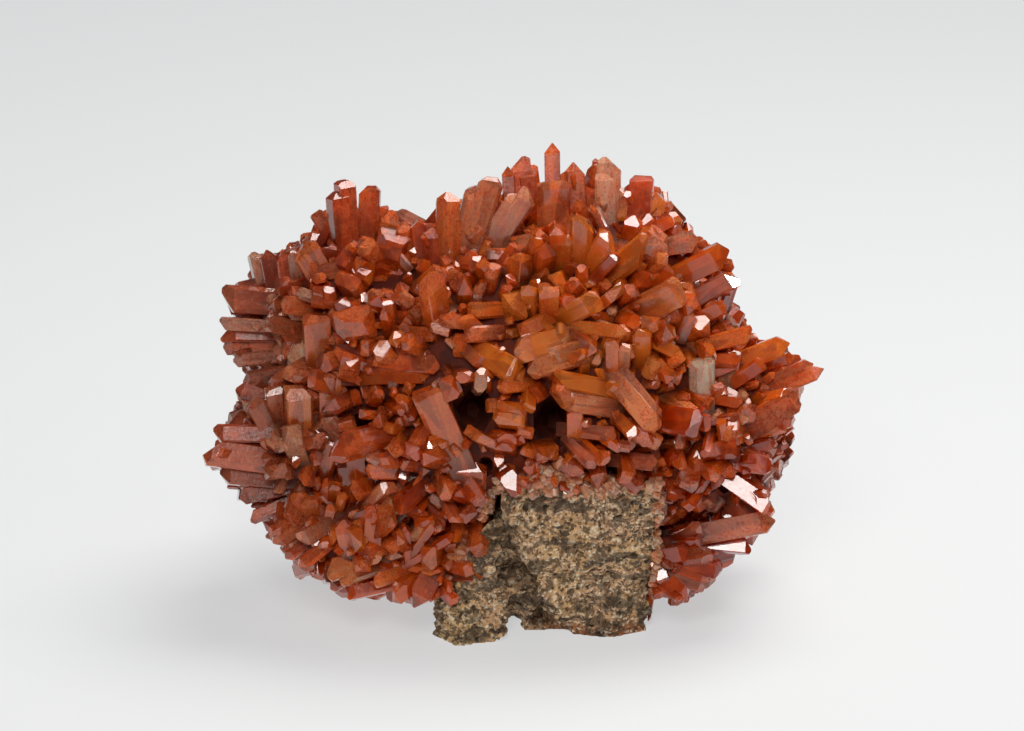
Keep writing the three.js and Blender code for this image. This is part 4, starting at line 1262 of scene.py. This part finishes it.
def sets_apart(shapes: Iterable[Shape]) -> list[list[Shape]]:
    """Sorts shapes into sets whose members do not touch one another."""
    sets: list[list[Shape]] = []
    balls: list[list[tuple[float, ...]]] = []
    for shape in shapes:
        ball = (*shape.centre, shape.radius)
        for group, spheres in zip(sets, balls):
            rows = np.array(spheres)
            near = ((rows[:, :3] - ball[:3]) ** 2).sum(axis=1) < (rows[:, 3] + ball[3]) ** 2
            if all(segment_gap(shape, group[k]) > shape.girth + group[k].girth
                   for k in np.flatnonzero(near)):
                group.append(shape)
                spheres.append(ball)
                break
        else:
            sets.append([shape])
            balls.append([ball])
    return sets


def unite(base: bpy.types.Object, shapes: Iterable[Shape]) -> bpy.types.Object:
    """Joins many closed shapes to a solid, two sets at a time.

    Args:
        base: The solid that they join.
        shapes: The shapes.

    Returns:
        The base, with every shape joined to it.
    """
    pieces = []
    for number, group in enumerate(sets_apart(shapes)):
        batch = MeshBatch()
        for shape in group:
            batch.add(shape)
        pieces.append(batch.build(f"set_{number}"))
    LOG.info("%d sets", len(pieces))
    while len(pieces) > 1:
        odd = [pieces.pop()] if len(pieces) % 2 else []
        pieces = [combine(pieces[k], pieces[k + 1], "UNION") for k in range(0, len(pieces), 2)] + odd
    return combine(base, pieces[0], "UNION")


@dataclass
class MatrixRock:
    """The block of porous rock under the crystals."""

    voxel: float = 0.23
    grain_size: float = 0.5
    grain_relief: float = 0.3
    lump_size: float = 2.6
    lump_relief: float = 0.75
    pit_size: float = 0.8
    pit_depth: float = 0.4
    foot_band: float = 0.35
    groove_depth: float = 1.7
    groove_width: float = 1.3
    groove_across: float = -0.4
    groove_slope: float = -0.35

    def relief(self, place: Vector) -> tuple[float, float]:
        """Measures the broken surface at a place.

        Args:
            place: Place in millimetres.

        Returns:
            How far the surface is moved outward, and how deep it lies in a pit or in the groove, from 0 to 1, which
            the finish darkens as painted shade.
        """
        lumps = noise.fractal(place / self.lump_size, 0.7, 2.1, 3)
        grains = noise.fractal(place / self.grain_size + Vector((7.0, 3.0, 1.0)), 0.5, 2.3, 2)
        warped = place + noise.noise_vector(place * 1.3) * 0.5
        cells = noise.voronoi(warped / self.pit_size)[0]
        open_pores = noise.noise(place * 0.32 + Vector((2.0, 9.0, 4.0))) * 0.5 + 0.5
        pit_and_shade = max(0.0, 1 - cells[0] / (0.26 + 0.3 * open_pores))
        pit_and_shade = min(1.0, pit_and_shade * 1.9)
        aside = (place.x - self.groove_across - self.groove_slope * place.z) / self.groove_width
        groove = math.exp(-aside * aside) if place.y < 0 else 0.0
        outward = (self.lump_relief * (lumps - 0.35) + self.grain_relief * grains
                   - self.pit_depth * pit_and_shade * pit_and_shade - self.groove_depth * groove)
        return outward, max(pit_and_shade, 0.7 * groove)

    def build(self, node: bpy.types.Object) -> bpy.types.Object:
        """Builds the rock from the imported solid.

        Args:
            node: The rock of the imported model.

        Returns:
            The rock, with its pits and grains.
        """
        rock = bpy.data.objects.new("porous_rock", node.data.copy())
        bpy.context.scene.collection.objects.link(rock)
        remesh = rock.modifiers.new("even_mesh", "REMESH")
        remesh.mode = "VOXEL"
        remesh.voxel_size = self.voxel * MM
        graph = bpy.context.evaluated_depsgraph_get()
        mesh = bpy.data.meshes.new_from_object(rock.evaluated_get(graph))
        rock.modifiers.clear()
        rock.data = mesh
        mesh.materials.clear()
        pits, points = [], []
        starts = [vertex.co / MM for vertex in mesh.vertices]
        normals = [Vector(item.vector) for item in mesh.vertex_normals]
        for place, normal in zip(starts, normals):
            outward, pit_and_shade = self.relief(place)
            fade = min(1.0, max(0.0, (place.z - 0.02) / self.foot_band))
            moved = place + normal * (outward * fade)
            points += [moved.x * MM, moved.y * MM, max(moved.z, 0.0) * MM]
            pits.append(pit_and_shade)
        mesh.vertices.foreach_set("co", points)
        mesh.attributes.new("pit_and_shade", "FLOAT", "POINT").data.foreach_set("value", pits)
        mesh.update()
        LOG.info("rock of %d faces", len(mesh.polygons))
        return rock


class Bench:
    """Lays out and wires the nodes of one material or group."""

    def __init__(self, tree: bpy.types.NodeTree) -> None:
        """Starts on an empty tree."""
        self.tree = tree
        self.tree.nodes.clear()

    def add(self, kind: str, **values: object) -> bpy.types.Node:
        """Adds a node.

        Args:
            kind: Type of the node.
            **values: Properties to set on it.

        Returns:
            The node.
        """
        node = self.tree.nodes.new(kind)
        for name, value in values.items():
            setattr(node, name, value)
        node.location = (180.0 * (len(self.tree.nodes) % 12), -220.0 * (len(self.tree.nodes) // 12))
        return node

    def link(self, source: bpy.types.NodeSocket, target: bpy.types.NodeSocket) -> None:
        """Wires an output to an input."""
        self.tree.links.new(source, target)

    def feed(self, node: bpy.types.Node, key: object, value: object) -> None:
        """Sets an input to a value, or wires it to an output."""
        socket = node.inputs[key]
        if isinstance(value, bpy.types.NodeSocket):
            self.link(value, socket)
        else:
            socket.default_value = value

    def math(self, operation: str, *values: object, clamp: bool = False) -> bpy.types.NodeSocket:
        """Adds a sum of numbers and returns its output."""
        node = self.add("ShaderNodeMath", operation=operation, use_clamp=clamp)
        for index, value in enumerate(values):
            self.feed(node, index, value)
        return node.outputs[0]

    def mix(self, factor: object, first: object, second: object, blend: str = "MIX") -> bpy.types.NodeSocket:
        """Mixes two colours and returns the result."""
        node = self.add("ShaderNodeMix", data_type="RGBA", blend_type=blend, clamp_factor=True)
        self.feed(node, 0, factor)
        self.feed(node, 6, first)
        self.feed(node, 7, second)
        return node.outputs[2]

    def span(self, value: object, low: float, high: float, out_low: float = 0.0,
             out_high: float = 1.0) -> bpy.types.NodeSocket:
        """Maps a range of numbers smoothly onto another and returns the result."""
        node = self.add("ShaderNodeMapRange", interpolation_type="SMOOTHSTEP")
        self.feed(node, 0, value)
        for key, number in zip((1, 2, 3, 4), (low, high, out_low, out_high)):
            node.inputs[key].default_value = number
        return node.outputs[0]

    def ramp(self, factor: bpy.types.NodeSocket,
             stops: Sequence[tuple[float, tuple[float, ...]]]) -> bpy.types.NodeSocket:
        """Adds a colour ramp and returns its colour."""
        node = self.add("ShaderNodeValToRGB")
        self.link(factor, node.inputs[0])
        elements = node.color_ramp.elements
        while len(elements) < len(stops):
            elements.new(0.5)
        for element, (place, colour) in zip(elements, stops):
            element.position = place
            element.color = (*colour, 1.0)
        return node.outputs[0]

    def group(self, tree: bpy.types.NodeTree, **values: object) -> bpy.types.Node:
        """Places a node group with its own values."""
        node = self.add("ShaderNodeGroup", node_tree=tree)
        for name, value in values.items():
            self.feed(node, name, value)
        return node


def mottle_group() -> bpy.types.NodeTree:
    """Builds the effect that both minerals share: patches, grains and a fine height.

    Returns:
        A group with Vector, Patch Scale and Grain Scale in, and Patches, Grains and Height out.
    """
    tree = bpy.data.node_groups.new("mineral_mottle", "ShaderNodeTree")
    face = tree.interface
    face.new_socket("Vector", in_out="INPUT", socket_type="NodeSocketVector")
    face.new_socket("Patch Scale", in_out="INPUT", socket_type="NodeSocketFloat")
    face.new_socket("Grain Scale", in_out="INPUT", socket_type="NodeSocketFloat")
    for name in ("Patches", "Grains", "Height"):
        face.new_socket(name, in_out="OUTPUT", socket_type="NodeSocketFloat")
    bench = Bench(tree)
    start, end = bench.add("NodeGroupInput"), bench.add("NodeGroupOutput")
    patches = bench.add("ShaderNodeTexNoise")
    bench.feed(patches, "Vector", start.outputs["Vector"])
    bench.feed(patches, "Scale", start.outputs["Patch Scale"])
    bench.feed(patches, "Detail", 2.0)
    bench.feed(patches, "Roughness", 0.6)
    grains = bench.add("ShaderNodeTexNoise")
    bench.feed(grains, "Vector", start.outputs["Vector"])
    bench.feed(grains, "Scale", start.outputs["Grain Scale"])
    bench.feed(grains, "Detail", 2.5)
    bench.feed(grains, "Roughness", 0.7)
    bench.link(bench.span(patches.outputs[0], 0.36, 0.64), end.inputs["Patches"])
    bench.link(bench.span(grains.outputs[0], 0.34, 0.66), end.inputs["Grains"])
    height = bench.math("ADD", bench.math("MULTIPLY", patches.outputs[0], 0.5), grains.outputs[0])
    bench.link(height, end.inputs["Height"])
    return tree


def glimmer_group() -> bpy.types.NodeTree:
    """Builds the cells that paint uneven inner light into crystal, and the light grains and painted pore shade of
    rock.

    Returns:
        A group with Vector and Scale in, and Glimmer and Edges out.
    """
    tree = bpy.data.node_groups.new("inner_glimmer", "ShaderNodeTree")
    face = tree.interface
    face.new_socket("Vector", in_out="INPUT", socket_type="NodeSocketVector")
    face.new_socket("Scale", in_out="INPUT", socket_type="NodeSocketFloat")
    for name in ("Glimmer", "Edges"):
        face.new_socket(name, in_out="OUTPUT", socket_type="NodeSocketFloat")
    bench = Bench(tree)
    start, end = bench.add("NodeGroupInput"), bench.add("NodeGroupOutput")
    cells = bench.add("ShaderNodeTexVoronoi", feature="F1", voronoi_dimensions="3D")
    bench.feed(cells, "Vector", start.outputs["Vector"])
    bench.feed(cells, "Scale", start.outputs["Scale"])
    split = bench.add("ShaderNodeSeparateColor")
    bench.link(cells.outputs["Color"], split.inputs[0])
    bench.link(split.outputs[0], end.inputs["Glimmer"])
    rims = bench.add("ShaderNodeTexVoronoi", feature="DISTANCE_TO_EDGE", voronoi_dimensions="3D")
    bench.feed(rims, "Vector", start.outputs["Vector"])
    bench.feed(rims, "Scale", start.outputs["Scale"])
    bench.link(bench.span(rims.outputs["Distance"], 0.0, 0.12, 1.0, 0.0), end.inputs["Edges"])
    return tree


@dataclass(frozen=True)
class HopeiteFinish:
    """Translucent orange-brown crystal with glassy faces and dull pinkish films."""

    mottle: bpy.types.NodeTree
    glimmer: bpy.types.NodeTree
    deep: tuple[float, ...] = (0.52, 0.040, 0.001)
    middle: tuple[float, ...] = (0.92, 0.12, 0.006)
    # Top of the tone ramp: the painted glow of crystals lit through.
    painted_glow: tuple[float, ...] = (1.0, 0.225, 0.014)
    film: tuple[float, ...] = (0.88, 0.29, 0.085)
    pale: tuple[float, ...] = (0.90, 0.66, 0.46)
    # Dusky colour of the painted shade on the left.
    painted_shade: tuple[float, ...] = (0.24, 0.10, 0.075)
    striae_scale: float = 3.4
    bump_strength: float = 0.3
    bump_distance: float = 0.00008
    refraction: float = 1.59
    clearness: float = 0.5
    milkiness: float = 0.3
    scatter_depth: float = 0.0005
    absorption: tuple[float, ...] = (0.88, 0.42, 0.10)
    absorption_density: float = 900.0
    gloss: float = 0.2
    polish: float = 0.75

    def material(self) -> bpy.types.Material:
        """Builds the material.

        Returns:
            The material of the crystals.
        """
        material = bpy.data.materials.new("hopeite")
        material.use_nodes = True
        bench = Bench(material.node_tree)
        look = bench.add("ShaderNodeAttribute", attribute_name="look")
        parts = bench.add("ShaderNodeSeparateColor")
        bench.link(look.outputs["Color"], parts.inputs[0])
        tone, film, pale = parts.outputs[0], parts.outputs[1], parts.outputs[2]
        painted_shade = look.outputs["Alpha"]
        along = bench.add("ShaderNodeAttribute", attribute_name="along").outputs["Fac"]
        local = bench.add("ShaderNodeAttribute", attribute_name="local").outputs["Vector"]
        mottle = bench.group(self.mottle, Vector=local, **{"Patch Scale": 0.55, "Grain Scale": 3.2})
        patches, grains = mottle.outputs["Patches"], mottle.outputs["Grains"]
        stretch = bench.add("ShaderNodeMapping", vector_type="POINT")
        bench.feed(stretch, "Vector", local)
        stretch.inputs["Scale"].default_value = (1.0, 1.0, 0.2)
        striae = bench.add("ShaderNodeTexNoise")
        bench.feed(striae, "Vector", stretch.outputs[0])
        bench.feed(striae, "Scale", self.striae_scale)
        bench.feed(striae, "Detail", 2.0)
        bench.feed(striae, "Roughness", 0.65)
        lines = bench.span(striae.outputs[0], 0.38, 0.62)
        # Tone, with the painted glow and shade that look_at adds by place, picks the body colour from deep red to the
        # painted glow colour.
        warmth = bench.math("ADD", tone, bench.math("MULTIPLY", bench.math("SUBTRACT", patches, 0.5), 0.35),
                            clamp=True)
        body = bench.ramp(warmth, ((0.0, self.deep), (0.45, self.middle), (1.0, self.painted_glow)))
        tips = bench.span(along, 0.05, 0.9, 0.35, 1.0)
        hazy = bench.math("MULTIPLY", bench.math("MULTIPLY", film, tips),
                          bench.math("ADD", bench.math("MULTIPLY", lines, 0.25),
                                     bench.math("MULTIPLY", grains, 0.75)), clamp=True)
        colour = bench.mix(hazy, body, (*self.film, 1.0))
        # Painted shade: the dusky colour laid over crystals on the left.
        colour = bench.mix(bench.math("MULTIPLY", painted_shade, 0.75), colour, (*self.painted_shade, 1.0))
        whitened = bench.math("MULTIPLY", pale, bench.math("ADD", 0.45, bench.math("MULTIPLY", lines, 0.6)),
                              clamp=True)
        colour = bench.mix(whitened, colour, (*self.pale, 1.0))
        # Painted light and shade: glimmer cells and their edges paint uneven inner light, and the colour darkens to
        # 0.35 toward each root, painted shade where the crystals meet.
        inner = bench.group(self.glimmer, Vector=stretch.outputs[0], Scale=0.9)
        light = bench.math("ADD", 0.62, bench.math("MULTIPLY", inner.outputs["Glimmer"], 0.6))
        light = bench.math("ADD", light, bench.math("MULTIPLY", inner.outputs["Edges"], 0.15))
        depth = bench.math("MULTIPLY", bench.span(along, 0.0, 0.6, 0.35, 1.0), light)
        shade = bench.add("ShaderNodeCombineColor")
        for index in range(3):
            bench.link(depth, shade.inputs[index])
        colour = bench.mix(1.0, colour, shade.outputs[0], "MULTIPLY")
        clean = bench.math("MULTIPLY", bench.span(along, 0.05, 0.3, 0.0, self.polish),
                           bench.math("SUBTRACT", 1.0, bench.math("MULTIPLY", hazy, 0.7)))
        rough = bench.math("ADD", 0.14, bench.math("MULTIPLY", hazy, 0.45))
        rough = bench.math("ADD", rough, bench.math("MULTIPLY", patches, 0.1))
        rough = bench.math("ADD", rough, bench.span(along, 0.0, 0.2, 0.6, 0.0))
        height = bench.math("ADD", bench.math("MULTIPLY", striae.outputs[0], 0.5), mottle.outputs["Height"])
        bump = bench.add("ShaderNodeBump")
        bench.feed(bump, "Strength", self.bump_strength)
        bench.feed(bump, "Distance", self.bump_distance)
        bench.link(height, bump.inputs["Height"])
        shader = bench.add("ShaderNodeBsdfPrincipled")
        bench.link(colour, shader.inputs["Base Color"])
        bench.link(rough, shader.inputs["Roughness"])
        bench.link(bump.outputs[0], shader.inputs["Normal"])
        shader.inputs["IOR"].default_value = self.refraction
        shader.inputs["Transmission Weight"].default_value = self.clearness
        shader.inputs["Subsurface Weight"].default_value = self.milkiness
        shader.inputs["Subsurface Radius"].default_value = (1.0, 0.38, 0.14)
        shader.inputs["Subsurface Scale"].default_value = self.scatter_depth
        shader.inputs["Specular IOR Level"].default_value = self.gloss
        bench.link(clean, shader.inputs["Coat Weight"])
        shader.inputs["Coat Roughness"].default_value = 0.05
        shader.inputs["Coat IOR"].default_value = self.refraction
        inside = bench.add("ShaderNodeVolumeAbsorption")
        inside.inputs["Color"].default_value = (*self.absorption, 1.0)
        inside.inputs["Density"].default_value = self.absorption_density
        output = bench.add("ShaderNodeOutputMaterial")
        bench.link(shader.outputs[0], output.inputs["Surface"])
        bench.link(inside.outputs[0], output.inputs["Volume"])
        return material


@dataclass(frozen=True)
class MatrixFinish:
    """Grey-tan granular rock with light grains, painted shade in its pits, pores and streaks, and rusty stains."""

    mottle: bpy.types.NodeTree
    glimmer: bpy.types.NodeTree
    base: tuple[float, ...] = (0.84, 0.50, 0.27)
    light: tuple[float, ...] = (1.0, 0.88, 0.66)
    shade: tuple[float, ...] = (0.20, 0.105, 0.050)
    ochre: tuple[float, ...] = (0.88, 0.55, 0.26)
    yellow: tuple[float, ...] = (0.86, 0.60, 0.26)
    # Near-black colour of the painted shade in pores, pits and streaks.
    pore_shade: tuple[float, ...] = (0.045, 0.028, 0.016)
    stain: tuple[float, ...] = (0.50, 0.15, 0.035)
    layering: tuple[float, ...] = (0.35, 0.6, 1.0)
    bump_strength: float = 0.8
    bump_distance: float = 0.0002

    def material(self) -> bpy.types.Material:
        """Builds the material.

        Returns:
            The material of the rock.
        """
        material = bpy.data.materials.new("matrix")
        material.use_nodes = True
        bench = Bench(material.node_tree)
        place = bench.add("ShaderNodeTexCoord").outputs["Object"]
        pit_and_shade = bench.add("ShaderNodeAttribute", attribute_name="pit_and_shade").outputs["Fac"]
        axes = bench.add("ShaderNodeSeparateXYZ")
        bench.link(place, axes.inputs[0])
        coarse = bench.group(self.mottle, Vector=place, **{"Patch Scale": 260.0, "Grain Scale": 1500.0})
        fine = bench.group(self.mottle, Vector=place, **{"Patch Scale": 1300.0, "Grain Scale": 4200.0})
        grit = bench.group(self.glimmer, Vector=place, Scale=3800.0)
        flat = bench.add("ShaderNodeMapping", vector_type="POINT")
        bench.feed(flat, "Vector", place)
        flat.inputs["Scale"].default_value = self.layering
        layers = bench.group(self.mottle, Vector=flat.outputs[0], **{"Patch Scale": 700.0, "Grain Scale": 2100.0})
        lobe = bench.math("MULTIPLY", bench.span(axes.outputs[0], -0.009, -0.004, 1.0, 0.0),
                          bench.span(axes.outputs[2], 0.004, 0.009, 1.0, 0.0))
        foot = bench.math("MULTIPLY", bench.span(axes.outputs[2], 0.0, 0.0028, 1.0, 0.0),
                          bench.span(axes.outputs[0], -0.005, -0.002))
        colour = bench.mix(coarse.outputs["Patches"], (*self.base, 1.0), (*self.ochre, 1.0))
        colour = bench.mix(bench.math("MULTIPLY", lobe, 0.55), colour, (*self.yellow, 1.0))
        colour = bench.mix(bench.math("MULTIPLY", foot, coarse.outputs["Patches"]), colour, (*self.stain, 1.0))
        colour = bench.mix(bench.math("MULTIPLY", coarse.outputs["Grains"], 0.42), colour, (*self.shade, 1.0))
        bright = bench.span(grit.outputs["Glimmer"], 0.62, 0.9)
        colour = bench.mix(bench.math("MULTIPLY", bright, 0.75), colour, (*self.light, 1.0))
        # Painted shade: dense small pores painted near black.
        pore_shade_mask = bench.math("MAXIMUM", bench.span(grit.outputs["Glimmer"], 0.1, 0.25, 1.0, 0.0),
                          bench.span(fine.outputs["Patches"], 0.05, 0.3, 1.0, 0.0))
        colour = bench.mix(bench.math("MULTIPLY", pore_shade_mask, 0.75), colour, (*self.pore_shade, 1.0))
        colour = bench.mix(bench.math("MULTIPLY", fine.outputs["Grains"], 0.35), colour, (*self.shade, 1.0))
        # Painted shade in the pits and in the groove between lobe and block.
        colour = bench.mix(bench.math("MULTIPLY", pit_and_shade, 0.6), colour, (*self.pore_shade, 1.0))
        # Painted shade: dark streaks along the layers, for banded pores and cracks.
        streak_shade = bench.math("MULTIPLY", bench.span(layers.outputs["Patches"], 0.05, 0.5, 1.0, 0.0), 0.72)
        colour = bench.mix(streak_shade, colour, (*self.pore_shade, 1.0))
        height = bench.math("ADD", coarse.outputs["Height"], fine.outputs["Height"])
        height = bench.math("SUBTRACT", height, bench.math("MULTIPLY", pore_shade_mask, 0.8))
        height = bench.math("SUBTRACT", height, streak_shade)
        bump = bench.add("ShaderNodeBump")
        bench.feed(bump, "Strength", self.bump_strength)
        bench.feed(bump, "Distance", self.bump_distance)
        bench.link(height, bump.inputs["Height"])
        shader = bench.add("ShaderNodeBsdfPrincipled")
        bench.link(colour, shader.inputs["Base Color"])
        rough = bench.math("ADD", 0.7, bench.math("MULTIPLY", fine.outputs["Grains"], 0.25))
        bench.link(rough, shader.inputs["Roughness"])
        bench.link(bump.outputs[0], shader.inputs["Normal"])
        output = bench.add("ShaderNodeOutputMaterial")
        bench.link(shader.outputs[0], output.inputs["Surface"])
        return material


@dataclass
class Studio:
    """Plain pale floor, soft lights and the camera."""

    image_width: float = 1024.0
    image_height: float = 731.0
    scale: float = 0.1
    origin_pixel: tuple[float, float] = (545.0, 602.0)
    focus_depth: float = 11.0
    distance: float = 700.0
    sensor: float = 36.0
    floor_size: float = 2600.0

    def floor(self) -> bpy.types.Object:
        """Lays the floor.

        Returns:
            The floor.
        """
        half = self.floor_size / 2 * MM
        mesh = bpy.data.meshes.new("floor")
        mesh.from_pydata([(-half, -half, 0), (half, -half, 0), (half, half, 0), (-half, half, 0)], [],
                         [(0, 1, 2, 3)])
        floor = bpy.data.objects.new("floor", mesh)
        bpy.context.scene.collection.objects.link(floor)
        material = bpy.data.materials.new("pale_floor")
        material.use_nodes = True
        shader = material.node_tree.nodes["Principled BSDF"]
        shader.inputs["Base Color"].default_value = (0.37, 0.374, 0.374, 1.0)
        shader.inputs["Roughness"].default_value = 0.65
        shader.inputs["Emission Color"].default_value = (0.97, 0.985, 1.0, 1.0)
        shader.inputs["Emission Strength"].default_value = 0.51
        shader.inputs["Specular IOR Level"].default_value = 0.2
        mesh.materials.append(material)
        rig.stage(floor)
        return floor

    def camera(self) -> bpy.types.Object:
        """Places the camera at the photograph's viewing angle.

        Returns:
            The camera.
        """
        across = (self.image_width / 2 - self.origin_pixel[0]) * self.scale
        up = (self.origin_pixel[1] - self.image_height / 2) * self.scale
        target = from_view(across, up, self.focus_depth)
        lens = bpy.data.cameras.new("camera")
        lens.sensor_width = self.sensor
        lens.lens = self.sensor * self.distance / (self.image_width * self.scale)
        lens.clip_start, lens.clip_end = 0.01, 20.0
        camera = bpy.data.objects.new("camera", lens)
        bpy.context.scene.collection.objects.link(camera)
        camera.location = (target + VIEW_NEAR * self.distance) * MM
        camera.rotation_euler = (math.pi / 2 - VIEW_TILT, 0.0, 0.0)
        bpy.context.scene.camera = camera
        return camera

    def softbox(self, name: str, place: tuple[float, ...], aim: tuple[float, ...], size: float,
                power: float, colour: tuple[float, ...]) -> None:
        """Hangs one soft light.

        Args:
            name: Name of the light.
            place: Where it hangs, in millimetres.
            aim: What it points at, in millimetres.
            size: Side of its square face, in millimetres.
            power: Watts.
            colour: Colour of the light.
        """
        light = bpy.data.lights.new(name, "AREA")
        light.shape = "SQUARE"
        light.size = size * MM
        light.energy = power
        light.color = colour
        holder = bpy.data.objects.new(name, light)
        bpy.context.scene.collection.objects.link(holder)
        holder.location = Vector(place) * MM
        toward = Vector(aim) - Vector(place)
        holder.rotation_euler = toward.to_track_quat("-Z", "Y").to_euler()

    def build(self) -> None:
        """Sets up the floor, the lights, the surroundings and the camera."""
        self.floor()
        self.camera()
        middle = (0.0, 0.0, 22.0)
        self.softbox("main_softbox", (75.0, 60.0, 270.0), middle, 165.0, 0.68, (1.0, 0.985, 0.96))
        self.softbox("front_softbox", (-40.0, -420.0, 330.0), middle, 150.0, 1.05, (1.0, 0.985, 0.96))
        lamps = ((160.0, -300.0, 260.0), (-200.0, -220.0, 300.0), (20.0, -180.0, 420.0), (260.0, -60.0, 160.0))
        for number, place in enumerate(lamps):
            self.softbox(f"glint_lamp_{number}", place, middle, 12.0, 0.03, (1.0, 0.98, 0.95))
        world = bpy.data.worlds.new("room")
        bpy.context.scene.world = world
        world.use_nodes = True
        world.node_tree.nodes["Background"].inputs[0].default_value = (1.0, 1.0, 1.0, 1.0)
        world.node_tree.nodes["Background"].inputs[1].default_value = 0.06
        bpy.context.scene.view_settings.view_transform = "Standard"


def dress(piece: bpy.types.Object, material: bpy.types.Material, slot: str, node: str) -> None:
    """Gives a piece its finish and its place in the model.

    Args:
        piece: The piece.
        material: Its material.
        slot: Material slot of the record.
        node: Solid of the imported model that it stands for.
    """
    piece.data.materials.clear()
    piece.data.materials.append(material)
    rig.slot(piece, slot)
    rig.ride(piece, "root")
    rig.replaces(piece, node)
    LOG.info("%s: %d faces", piece.name, len(piece.data.polygons))


def main() -> None:
    """Builds the studio and the specimen, and notes their sizes."""
    logging.basicConfig(level=logging.INFO, format="%(name)s: %(message)s")
    # Without a seed of its own, noise_vector differs from run to run
    noise.seed_set(NOISE_SEED)
    cad_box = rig.bounds()
    Studio().build()
    mottle, glimmer = mottle_group(), glimmer_group()
    rock = MatrixRock().build(frame["nodes"]["matrix_rock"])
    dress(rock, MatrixFinish(mottle, glimmer).material(), "matrix", "matrix_rock")
    graph = bpy.context.evaluated_depsgraph_get()
    cluster = CrystalCluster().build(BVHTree.FromObject(rock, graph), frame["nodes"]["matrix_rock"])
    dress(cluster, HopeiteFinish(mottle, glimmer).material(), "hopeite", "hopeite_crystals")
    boxes = {"cad": [list(corner) for corner in cad_box], "visual": [list(corner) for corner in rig.bounds()]}
    with open("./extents.json", "w", encoding="utf-8") as sizes:
        json.dump(boxes, sizes)


if __name__ == "__main__":
    main()
